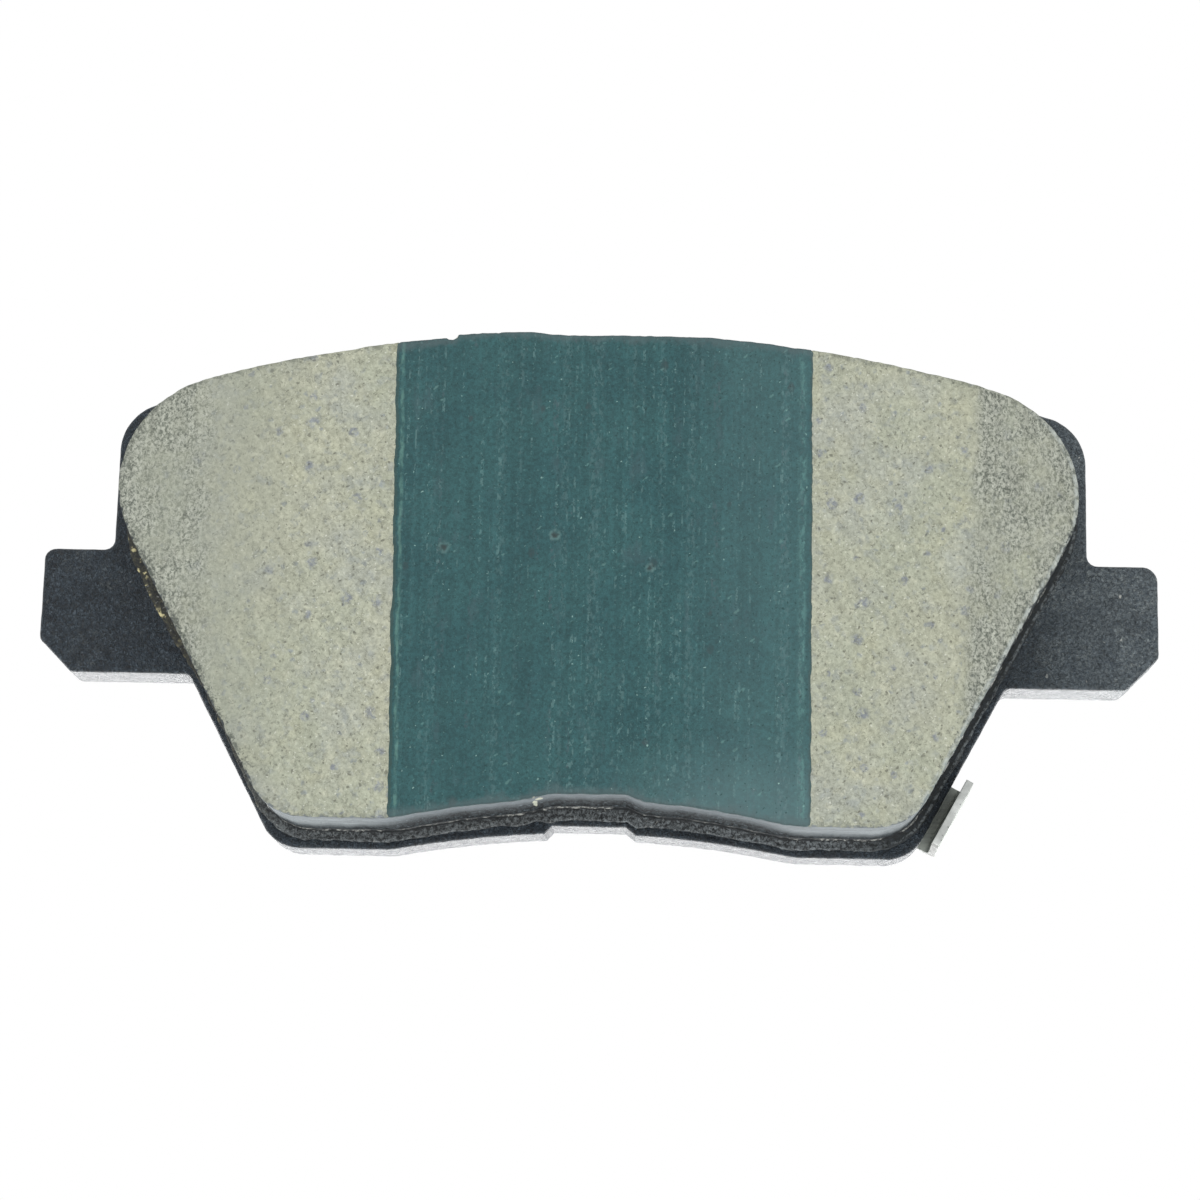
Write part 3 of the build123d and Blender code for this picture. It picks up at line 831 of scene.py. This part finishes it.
# ---- friction
FACE_Y = -17.3
BLOCK_BACK_Y = -8.9
CHAMFER_LEFT_X, CHAMFER_RIGHT_X = 38.2, 37.3
CHAMFER_LEAN = math.radians(3.0)
CHAMFER_SLOPE = math.tan(math.radians(10.5))
FLAT_TOP_Z = 25.34
EDGE_ROUND = 0.22
RING_STEP = 0.28
WALL_STEPS, ROUGH_FROM_STEP = 24, 3
SUNK = 0.07
KNOWN_BITES = ((-5.5, -23.0, 0.3, 2.0), (-15.3, 25.0, 0.45, 1.5), (4.9, -22.9, 0.3, 1.5))
OTHER_BITES = 54
UPPER_Z = 15.0
# Step and margin of the points of each cap, finest where it is seen.
FACE_GRID, COAT_GRID, FLASH_GRID = (0.3, 0.16), (0.26, 0.12), (0.3, 0.14)
PLATE_GRID, BACK_GRID, PLUG_GRID, HIDDEN_GRID = (0.36, 0.2), (1.6, 0.8), (1.5, 0.5), (3.0, 1.0)
STRIPE_LOW_Z, STRIPE_HIGH_Z = -25.3, 25.4
STRIPE_LEFT = (-20.1, -20.9)
STRIPE_RIGHT = (21.85, 21.72)


def stripe_edges(z):
    """X of the stripe's left and right edges at each height."""
    t = (z - STRIPE_LOW_Z) / (STRIPE_HIGH_Z - STRIPE_LOW_Z)
    p = np.stack([np.zeros_like(z), np.zeros_like(z), z], 1)
    wave = 0.07 * noise(p, 2.3, 3) + 0.06 * noise(p, 0.5, 4)
    other = 0.05 * noise(p, 2.7, 5) + 0.06 * noise(p, 0.5, 6)
    left = STRIPE_LEFT[0] + t * (STRIPE_LEFT[1] - STRIPE_LEFT[0]) + wave
    right = STRIPE_RIGHT[0] + t * (STRIPE_RIGHT[1] - STRIPE_RIGHT[0]) + other
    return left, right


def stripe_cover(xz):
    """Distance inside the stripe's nearer side edge, negative outside."""
    left, right = stripe_edges(xz[:, 1])
    return np.minimum(xz[:, 0] - left, right - xz[:, 0])


def past_chamfer(xz):
    """Distance beyond the nearer end chamfer's boundary, negative before it."""
    x = np.where(xz[:, 0] < 0, -xz[:, 0] - CHAMFER_LEFT_X, xz[:, 0] - CHAMFER_RIGHT_X)
    return x * math.cos(CHAMFER_LEAN) - xz[:, 1] * math.sin(CHAMFER_LEAN)


def face_height(xz):
    """Smooth Y of the friction face with its end chamfers."""
    return FACE_Y + np.maximum(past_chamfer(xz), 0) * CHAMFER_SLOPE


def crumble(xz, edge):
    """Depth lost along the worn edge of the face."""
    return 0.16 * (smooth(0.8, 0.05, edge) * (0.5 + 0.5 * noise(at(xz), 1.1, 31))) ** 2


def face_wear(xz, edge):
    """Depth of grain, pits and crumbled edges below the smooth face."""
    p = at(xz)
    rough = smooth(-0.4, 0.6, past_chamfer(xz))
    depth = 0.012 * (1 + fbm(p, 1.6, 3, 1)) + 0.016 * rough * (1 + fbm(p, 0.7, 2, 9))
    near, pick = cells(p, 1.7, 21)
    radius = 0.16 + 0.34 * pick
    size = np.where(pick > 0.66 - 0.2 * rough, 1.0, 0.0)
    depth += size * (0.03 + 0.06 * pick) * smooth(1.0, 0.35, near / radius)
    depth += crumble(xz, edge)
    covered = smooth(0.1, 0.28, stripe_cover(xz))
    return depth * (1 - covered) + (SUNK + crumble(xz, edge)) * covered


def chips(ring):
    """Centres, radii and depth stretch of bites out of the face's edge."""
    out = []
    for x, z, r, tall in KNOWN_BITES:
        k = int(np.argmin(np.hypot(ring[:, 0] - x, ring[:, 1] - z)))
        out.append((k, r, tall))
    for j in range(OTHER_BITES):
        one = np.array([j], np.int64)
        k = int(lattice(one, one, one, 50)[0] * len(ring)) % len(ring)
        r = 0.15 + 0.28 * float(lattice(one, one, one, 51)[0]) ** 2
        out.append((k, r, 1.0))
    n = outward(ring)
    return [(*(ring[k] + n[k] * r * 0.45), r, tall) for k, r, tall in out]


def bite(pts, allowed, grow=0.0):
    """Pushes points out of the chips' bites, and marks the bared surface."""
    bared = np.zeros(len(pts))
    for x, z, r, tall in bites:
        y = float(face_height(np.array([[x, z]]))[0]) - 0.1 * r
        scale = np.array([1.0, tall, 1.0])
        d = (pts - np.array([x, y, z])) / scale
        far = np.linalg.norm(d, axis=1)
        hit = (far < r + grow) & allowed
        moved = d[hit] / np.maximum(far[hit], 1e-6)[:, None] * (r + grow)
        pts[hit] = np.array([x, y, z]) + moved * scale
        bared = np.maximum(bared, smooth(1.25, 1.0, far / r) * (r > 0.29))
    return bared


# The block's outline, with the higher part of its top edge and the nick there.
ring = resample(outline("friction_block", BLOCK_BACK_Y)[0], RING_STEP, sharp=80.0, relax=8)
upper = ring[:, 1] > UPPER_Z
ring[:, 1] = np.minimum(ring[:, 1], FLAT_TOP_Z + 0.02 * noise(at(ring), 3.0, 7))
raised = smooth(-15.1, -14.3, ring[:, 0]) * smooth(-4.2, -7.0, ring[:, 0])
ring[:, 1] += np.where(upper, 0.2 * raised, 0)
nick = hump(ring[:, 0], -15.35, 0.35) - 0.6 * hump(ring[:, 0], -14.7, 0.25)
ring[:, 1] -= np.where(upper, 0.3 * nick, 0)
worn = 0.05 * (1 + fbm(at(ring), 2.4, 3, 8)) + 0.03 * (1 + noise(at(ring), 0.55, 10))
worn = worn + 0.07 * np.maximum(0, noise(at(ring), 0.9, 15)) ** 2
ring = inset(ring, worn)
rim_y = face_height(ring)
bites = chips(ring)
rings, edges = [], []
for k in range(WALL_STEPS + 1):
    y = BLOCK_BACK_Y + (rim_y + EDGE_ROUND - BLOCK_BACK_Y) * k / WALL_STEPS
    p = at(ring, y)
    wall_push = 0.05 * (1 + noise(p, 2.6, 12)) + 0.025 * (1 + fbm(p, 0.7, 2, 13))
    rings.append(at(inset(ring, wall_push * min(k, ROUGH_FROM_STEP) / ROUGH_FROM_STEP), y))
    edges.append(-np.abs(rim_y - y))
face_ring = rings[-1][:, [0, 2]]
under = SUNK * smooth(0.0, 0.2, stripe_cover(face_ring))
rings[-1] = at(inset(face_ring, under), rings[-1][:, 1])
for angle in (30, 60, 90):
    a = math.radians(angle)
    y = rim_y + EDGE_ROUND * (1 - math.sin(a))
    rings.append(at(inset(face_ring, under + EDGE_ROUND * (1 - math.cos(a))), y))
    edges.append(np.full(len(ring), -EDGE_ROUND * (1 - math.sin(a)) * 0.5))


def under_stripe(xz):
    """Where the coating hides the face, which needs few points there."""
    return (stripe_cover(xz) > 1.2) & (xz[:, 1] > -21.5) & (xz[:, 1] < 22.5)


block = Solid()
ends = block.wall(rings, edges)
block.cap([ends[-1]], face_height, FACE_GRID, FRONT, under_stripe)
block.cap([ends[0]], level(BLOCK_BACK_Y), HIDDEN_GRID, BACK)
pts, edge, _ = block.arrays()
wear = face_wear(pts[:, [0, 2]], np.maximum(edge, 0))
pts[:, 1] += np.where(edge > -0.2, wear, 0)
chip = bite(pts, edge > -3)
# How far the block's walls face down, which sets the painted sheen on its sides.
ring_down = np.maximum(0, -outward(ring)[:, 1])
below = np.zeros(len(pts))
below[: len(ring) * len(rings)] = np.tile(smooth(0.3, 0.9, ring_down), len(rings))
spread = np.where(pts[:, 0] < 0, 2.4, 1.0)
past = past_chamfer(pts[:, [0, 2]])
chamfer = smooth(-0.4, 1.3, past / spread + 0.5 * noise(pts, 1.8, 14))
marks = {"edge": edge, "chamfer": chamfer, "past": past, "chip": chip, "below": below}
friction = make("friction_block_detailed", pts, block.f, friction_mat, marks)
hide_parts("friction_block")


# ---- stripe
SKIN = 0.02
SKIRT_BACK_Y = -16.9
SIDE_REACH_Z, SIDE_STEP = 28.0, 0.3
CRATERS = ((-15.35, 2.54, 0.46), (-4.16, 3.98, 0.43), (5.51, 0.73, 0.34))


def stripe_outline():
    """The coating's outline, and which points lie on the block's own edge."""
    z = np.arange(-SIDE_REACH_Z, SIDE_REACH_Z, SIDE_STEP)
    left, right = stripe_edges(z)
    sides = []
    for x in (left, right):
        line = np.stack([x, z], 1)
        ok = inside(line, face_ring) & (gap(line, face_ring) > 0.12)
        sides.append(line[ok])
    ok = stripe_cover(face_ring) > 0.1
    runs = []
    for chosen, key in ((face_ring[:, 1] < 0, 1), (face_ring[:, 1] > 0, -1)):
        run = face_ring[ok & chosen]
        runs.append(np.roll(run, -int(np.argmin(run[:, 0] * key)), axis=0))
    order = [runs[0], sides[1], runs[1], sides[0][::-1]]
    rim = np.concatenate([np.full(len(p), k % 2 == 0) for k, p in enumerate(order)])
    return np.vstack(order), rim


def coat_thickness(xz, left, right):
    """Thickness of the coating with its ridges, drag lines, nibs and craters."""
    p = at(xz)
    rim = np.minimum(left, right)
    lumps = 0.5 + 0.5 * noise(p * (1, 1, 0.25), 0.9, 61)
    ridge = hump(left, 0.7, 0.18) * lumps
    ridge += 0.6 * hump(right, 1.0, 0.3) * lumps
    streaks = noise(p * (1, 1, 0.05), 0.7, 62) + 0.5 * noise(p * (1, 1, 0.1), 0.4, 63)
    thick = SKIN * smooth(-0.05, 0.3, rim) * (1 + 0.15 * streaks)
    thick = thick + 0.02 * ridge + 0.006 * fbm(p, 0.9, 2, 64) * smooth(0, 0.3, rim)
    near, pick = cells(p, 1.5, 65)
    thick = thick + 0.02 * (pick > 0.8) * smooth(0.3, 0.05, near)
    near, pick = cells(p, 1.9, 66)
    thick = thick - 0.02 * (pick > 0.8) * smooth(0.22, 0.06, near)
    for x, z, r in CRATERS:
        d = np.hypot(xz[:, 0] - x, xz[:, 1] - z) / r
        thick = thick + 0.035 * hump(d, 1.0, 0.24) - 0.06 * smooth(0.95, 0.5, d)
    return thick


def coat_front(xz):
    """Y of the coating's front."""
    left, right = stripe_edges(xz[:, 1])
    lost = crumble(xz, gap(xz, face_ring) - EDGE_ROUND)
    return FACE_Y + lost - coat_thickness(xz, xz[:, 0] - left, right - xz[:, 0])


loop, on_rim = stripe_outline()
coat_rings = [at(loop, SKIRT_BACK_Y)]
coat_edges = [np.where(on_rim, -0.4, 0.6)]
# Angles round the block's edge, and the Y of the same rings on the coating's sides.
for angle, side_y in ((0, -17.1), (30, -17.2), (60, -17.26), (90, 0.0)):
    a = math.radians(angle)
    p = inset(loop, np.where(on_rim, EDGE_ROUND * (1 - math.cos(a)), 0))
    y = np.where(on_rim, FACE_Y + EDGE_ROUND * (1 - math.sin(a)), side_y)
    coat_rings.append(at(p, coat_front(p) if angle == 90 else y))
    coat_edges.append(np.where(on_rim, -EDGE_ROUND * (1 - math.sin(a)), 0.6))
coating = Solid()
ends = coating.wall(coat_rings, coat_edges)
coating.cap([ends[-1]], coat_front, COAT_GRID, FRONT)
coating.cap([ends[0]], level(SKIRT_BACK_Y), HIDDEN_GRID, BACK)
pts, edge, part = coating.arrays()
edge = np.where(part == FRONT, gap(pts[:, [0, 2]], face_ring), edge)
bite(pts, np.ones(len(pts), bool), 0.05)
left, right = stripe_edges(pts[:, 2])
# Crater centres, and the rims that get a painted highlight.
crater, lip = np.zeros(len(pts)), np.zeros(len(pts))
for x, z, r in CRATERS:
    d = np.hypot(pts[:, 0] - x, pts[:, 2] - z) / r
    crater = np.maximum(crater, smooth(0.9, 0.55, d))
    lip = np.maximum(lip, hump(d, 1.05, 0.22))
marks = {"left": pts[:, 0] - left, "right": right - pts[:, 0], "edge": edge}
marks.update(crater=crater, lip=lip)
stripe = make("bedding_stripe_detailed", pts, coating.f, stripe_mat, marks)
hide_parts("bedding_stripe")


# ---- underlayer
FLASH_BACK_Y, FLASH_FRONT_Y = -6.9, -7.38
PLUG_BACK_Y = -0.8
FLASH_STEP, PLUG_STEP = 0.32, 0.8
# Edge values that tell the block's foot and the plugs from the flash.
FOOT, PLUG = 2.0, 4.0
loops = outline("underlayer", FLASH_BACK_Y)
flash_ring = resample(loops[0], FLASH_STEP)
in_notch = smooth(6.0, 4.5, np.abs(flash_ring[:, 0])) * (flash_ring[:, 1] < 0)
ragged = 0.26 * np.maximum(0, 0.35 + fbm(at(flash_ring), 1.1, 4, 71))
on_left = smooth(-33, -37, flash_ring[:, 0]) * smooth(-12, -2, flash_ring[:, 1])
on_left = on_left * smooth(6.5, 3.0, flash_ring[:, 1])
slim = smooth(-22, -16, flash_ring[:, 1]) * (1 - on_left) * np.where(flash_ring[:, 0] > 0, 0.3, 1.0)
flash_ring = inset(flash_ring, 0.02 + ragged + 0.3 * slim - 0.3 * in_notch - 0.36 * on_left)
plug_rings = [resample(p, PLUG_STEP, relax=0)[::-1] for p in loops[1:]]


def flash_height(xz):
    """Y of the flash's rough front."""
    return FLASH_FRONT_Y + 0.12 * fbm(at(xz), 0.8, 3, 72) + 0.1


skirt = Solid()
outer = [
    at(flash_ring, FLASH_BACK_Y),
    at(flash_ring, (FLASH_BACK_Y + FLASH_FRONT_Y) / 2),
    at(inset(flash_ring, 0.12), FLASH_FRONT_Y + 0.12),
]
ends = skirt.wall(outer, [0.0, 0.3, 0.6])
base_ring = rings[0][:, [0, 2]]
inner = [at(base_ring, FLASH_FRONT_Y + 0.05)]
dashes = smooth(-0.5, 0.3, noise(at(base_ring), 0.6, 74))
dashes = dashes * (0.65 + 0.35 * noise(at(base_ring), 6.0, 75))
wall_marks = [FOOT]
for k, bulge in ((1, 0.0), (2, 0.35), (3, 1.0), (4, 0.35), (5, 0.0)):
    y = FLASH_FRONT_Y + (BLOCK_BACK_Y - FLASH_FRONT_Y) * (0.12 + 0.176 * k)
    push = 0.03 * (1 + noise(at(base_ring, y), 0.9, 73)) * (k < 5)
    inner.append(at(inset(base_ring, push - 0.22 * bulge * dashes), y))
    wall_marks.append(FOOT + bulge * dashes)
inner_ends = skirt.wall(inner, wall_marks)
skirt.cap([ends[-1], inner_ends[0]], flash_height, FLASH_GRID, FRONT)
skirt.cap([inner_ends[-1]], level(BLOCK_BACK_Y), HIDDEN_GRID, FRONT)
back_ends = [ends[0]]
for plug in plug_rings:
    plug_ends = skirt.wall([at(plug, PLUG_BACK_Y), at(plug, FLASH_BACK_Y)], [PLUG, PLUG])
    skirt.cap([plug_ends[0]], level(PLUG_BACK_Y), PLUG_GRID, BACK)
    back_ends.append(plug_ends[1])
skirt.cap(back_ends, level(FLASH_BACK_Y), HIDDEN_GRID, BACK)
pts, edge, _ = skirt.arrays()
bead = smooth(2.08, 2.4, edge) * (edge < 3.5)
marks = {"wall": smooth(1.0, FOOT, edge), "bead": bead, "away": gap(pts[:, [0, 2]], base_ring)}
underlayer = make("underlayer_detailed", pts, skirt.f, underlayer_mat, marks)
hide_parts("underlayer")


# ---- adhesive
GLUE_BACK_Y = -6.8
glue_ring = inset(flash_ring, 0.06 + 0.05 * (1 + noise(at(flash_ring), 1.2, 81)))
film_rings = [glue_ring, *[inset(p, -0.02)[::-1] for p in plug_rings]]
film = Solid()
walls = [film.wall([at(p, GLUE_BACK_Y), at(p, FLASH_BACK_Y)]) for p in film_rings]
film.cap([w[0] for w in walls], level(GLUE_BACK_Y), HIDDEN_GRID, BACK)
film.cap([w[1] for w in walls], level(FLASH_BACK_Y), HIDDEN_GRID, FRONT)
pts, _, _ = film.arrays()
adhesive = make("bonding_adhesive_detailed", pts, film.f, resin_mat)
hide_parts("bonding_adhesive")


# ---- plate
PLATE_FRONT_Y, PLATE_BACK_Y = -6.8, -0.8
DIE_ROLL, BURR = 0.4, 0.15
SIDE_STEPS, SIDE_ROUGH = 12, 0.035
PEEL = 0.02
PLATE_STEP, HOLE_STEP = 0.42, 0.7
HOLE_SIDES = 36
HOLE_BACK_R, HOLE_FRONT_R = 0.05, 0.1
SEAT_DEPTH = 0.9
plate_ring, *front_holes = outline("backing_plate", PLATE_FRONT_Y)
plate_ring = resample(plate_ring, PLATE_STEP, relax=0)
back_holes = outline("backing_plate", PLATE_BACK_Y)[1:]


def plate_height(xz):
    """Y of the coated front face, with orange peel where it shows."""
    p = at(xz)
    peel = noise(p, 0.75, 91) + 0.5 * noise(p, 0.35, 92)
    shown = np.where(inside(xz, glue_ring), 0.0, 1.0)
    return PLATE_FRONT_Y + PEEL * (1 + peel) * shown


def sides(loop, back_r, front_r, steps, rough=0.0):
    """Wall of the plate round one outline, with rounded edges."""
    out = []
    for a in (90, 45, 0):
        a = math.radians(a)
        ring = inset(loop, back_r * (1 - math.cos(a)))
        out.append((ring, PLATE_BACK_Y - back_r * (1 - math.sin(a))))
    first, last = PLATE_BACK_Y - back_r, PLATE_FRONT_Y + front_r
    out += [(loop, first + (last - first) * k / steps) for k in range(1, steps)]
    for a in (0, 25, 50, 70, 90):
        a = math.radians(a)
        ring = inset(loop, front_r * (1 - math.cos(a)))
        out.append((ring, PLATE_FRONT_Y + front_r * (1 - math.sin(a))))
    if rough:
        out = [(inset(ring, rough * (1 + fbm(at(loop, y), 0.9, 2, 93))), y) for ring, y in out]
    return plate.wall([at(ring, y) for ring, y in out])


plate = Solid()
walls = [sides(plate_ring, BURR, DIE_ROLL, SIDE_STEPS, SIDE_ROUGH)]
holes = {}
for where, loops in (("front", front_holes), ("back", back_holes)):
    for p in loops:
        p = resample(p, HOLE_STEP, relax=0)
        c = p.mean(0)
        radius = float(np.hypot(*(p - c).T).mean())
        holes.setdefault((round(c[0], 0), round(c[1], 0)), []).append((where, c, radius))
for found in holes.values():
    c = found[0][1]
    turn = np.linspace(0, -2 * math.pi, HOLE_SIDES + 1)[:-1]
    unit = np.stack([np.cos(turn), np.sin(turn)], 1)
    radii = {where: radius for where, _, radius in found}
    small = c + unit * radii["back"]
    if abs(radii["front"] - radii["back"]) < 0.05:
        walls.append(sides(small, HOLE_BACK_R, HOLE_FRONT_R, 2))
    else:
        wide = c + unit * radii["front"]
        seat_y = PLATE_FRONT_Y + SEAT_DEPTH
        steps = ((small, PLATE_BACK_Y), (small, seat_y), (wide, seat_y), (wide, PLATE_FRONT_Y))
        walls.append(plate.wall([at(p, y) for p, y in steps]))
covered = inset(outline("underlayer", FLASH_BACK_Y)[0], 1.5)
ends = [w[-1] for w in walls]
plate.cap(ends, plate_height, PLATE_GRID, FRONT, lambda q: inside(q, covered))
plate.cap([w[0] for w in walls], level(PLATE_BACK_Y), BACK_GRID, BACK)
pts, _, _ = plate.arrays()
scuff = 0.15 + 0.85 * smooth(40, 50, pts[:, 0])
backing = make("backing_plate_detailed", pts, plate.f, coat_mat, {"scuff": scuff})
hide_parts("backing_plate")


# ---- steel parts
WELD = 1e-6
FLAT_ANGLE, HARD_ANGLE = math.radians(1), math.radians(50)
BEVEL = {"segments": 3, "profile": 0.5, "affect": "EDGES", "clamp_overlap": True}


def softened(node, name, materials, width, chooser=None):
    """Copy of a CAD node with its hard edges bevelled."""
    bm = bmesh.new()
    bm.from_mesh(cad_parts[node].data)
    bmesh.ops.remove_doubles(bm, verts=bm.verts, dist=WELD)
    bmesh.ops.dissolve_limit(bm, angle_limit=FLAT_ANGLE, verts=bm.verts, edges=bm.edges)
    hard = [e for e in bm.edges if len(e.link_faces) == 2 and e.calc_face_angle() > HARD_ANGLE]
    bmesh.ops.bevel(bm, geom=hard, offset=width / MM, **BEVEL)
    bmesh.ops.triangulate(bm, faces=bm.faces)
    mesh = bpy.data.meshes.new(name)
    for m in materials:
        mesh.materials.append(m)
    for f in bm.faces:
        f.smooth = True
        if chooser:
            f.material_index = chooser(f)
    bm.to_mesh(mesh)
    bm.free()
    obj = piece(name, mesh, 40)
    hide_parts(node)
    return obj


STRIP_TILT = math.radians(28.5)
strip_along = Vector((math.sin(STRIP_TILT), 0, math.cos(STRIP_TILT)))
strip_inward = Vector((-strip_along.z, 0, strip_along.x))
BLADE_Y, FOOT_Y = -1.5 / MM, -0.9 / MM
STRIP_MATS = [strip_mat, sheared_mat, cut_mat]


def strip_slot(face):
    """Index in STRIP_MATS for a face, bare steel on the narrow cut faces."""
    n, y = face.normal, face.calc_center_median().y
    if abs(n.dot(strip_along)) > 0.8:
        return 2
    tip = y < BLADE_Y and n.y < -0.7
    heel = y > FOOT_Y and abs(n.y) < 0.4 and n.dot(strip_inward) > 0.7
    return 1 if tip or heel else 0


indicator = softened("wear_indicator", "wear_indicator_detailed", STRIP_MATS, 0.06, strip_slot)
rivet = softened("indicator_rivet", "indicator_rivet_detailed", [rivet_mat], 0.1)

for node, look in (
    ("shim_outer_rubber", rubber_mat),
    ("shim_inner_rubber", rubber_mat),
    ("shim_steel_core", core_mat),
    ("shim_adhesive", glue_mat),
):
    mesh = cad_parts[node].data
    mesh.materials.clear()
    mesh.materials.append(look)


# ---- stage
CAMERA_TARGET = Vector((0.00008, 0.0, 0.00104))
CAMERA_DISTANCE = 0.3053
CAMERA_AZIMUTH = math.radians(1.54)
CAMERA_ELEVATION = math.radians(-12.03)
CAMERA_ROLL = math.radians(1.328)
CAMERA_LENS = 85.786

flat = math.cos(CAMERA_ELEVATION)
away = (math.sin(CAMERA_AZIMUTH) * flat, -math.cos(CAMERA_AZIMUTH) * flat, math.sin(CAMERA_ELEVATION))
away = Vector(away)
lens = bpy.data.cameras.new("camera")
lens.sensor_width = 36.0
lens.lens = CAMERA_LENS
lens.clip_start = 0.01
lens.clip_end = 50.0
camera = link("camera", lens)
facing = (-away).to_track_quat("-Z", "Y").to_matrix().to_4x4()
place = Matrix.Translation(CAMERA_TARGET + away * CAMERA_DISTANCE)
camera.matrix_world = place @ facing @ Matrix.Rotation(CAMERA_ROLL, 4, "Z")
scene.camera = camera

world = bpy.data.worlds.new("studio")
world.use_nodes = True
background = world.node_tree.nodes["Background"]
background.inputs["Color"].default_value = (1.0, 1.0, 1.0, 1.0)
background.inputs["Strength"].default_value = 1.0
scene.world = world
scene.view_settings.view_transform = "Standard"
scene.view_settings.look = "None"


def softbox(name, location, width, height, power):
    """Rectangular lamp that faces the pad and isn't seen by the camera."""
    lamp = bpy.data.lights.new(name, "AREA")
    lamp.shape = "RECTANGLE"
    lamp.size = width
    lamp.size_y = height
    lamp.energy = power
    obj = link(name, lamp)
    place = Vector(location)
    turn = (-place).to_track_quat("-Z", "Y").to_matrix().to_4x4()
    obj.matrix_world = Matrix.Translation(place) @ turn
    obj.visible_camera = False


softbox("key", (-0.5, -0.75, 0.75), 0.5, 0.5, 4.0)
softbox("fill", (0.1, -0.55, -0.75), 0.9, 0.5, 3.0)
softbox("sweep", (0.0, 0.6, -0.32), 1.8, 0.55, 15.0)


def floor_look():
    """Matt pale floor, clear when it is seen from below."""
    mat = bpy.data.materials.new("floor")
    mat.use_nodes = True
    tree = mat.node_tree
    tree.nodes.clear()
    out = tree.nodes.new("ShaderNodeOutputMaterial")
    matt = tree.nodes.new("ShaderNodeBsdfDiffuse")
    matt.inputs["Color"].default_value = FLOOR_COLOUR
    clear = tree.nodes.new("ShaderNodeBsdfTransparent")
    side = tree.nodes.new("ShaderNodeNewGeometry")
    choose = tree.nodes.new("ShaderNodeMixShader")
    tree.links.new(side.outputs["Backfacing"], choose.inputs[0])
    tree.links.new(matt.outputs[0], choose.inputs[1])
    tree.links.new(clear.outputs[0], choose.inputs[2])
    tree.links.new(choose.outputs[0], out.inputs["Surface"])
    return mat


FLOOR_HALF = 3.0
FLOOR_COLOUR = (0.82, 0.82, 0.81, 1)
low = cad_lo[2]
sheet = bpy.data.meshes.new("floor")
corners = [(-1, -1), (1, -1), (1, 1), (-1, 1)]
sheet.from_pydata([(x * FLOOR_HALF, y * FLOOR_HALF, low) for x, y in corners], [], [(0, 1, 2, 3)])
sheet.materials.append(floor_look())
floor = link("floor", sheet)
floor.visible_shadow = False
floor.visible_diffuse = False
floor.visible_glossy = False
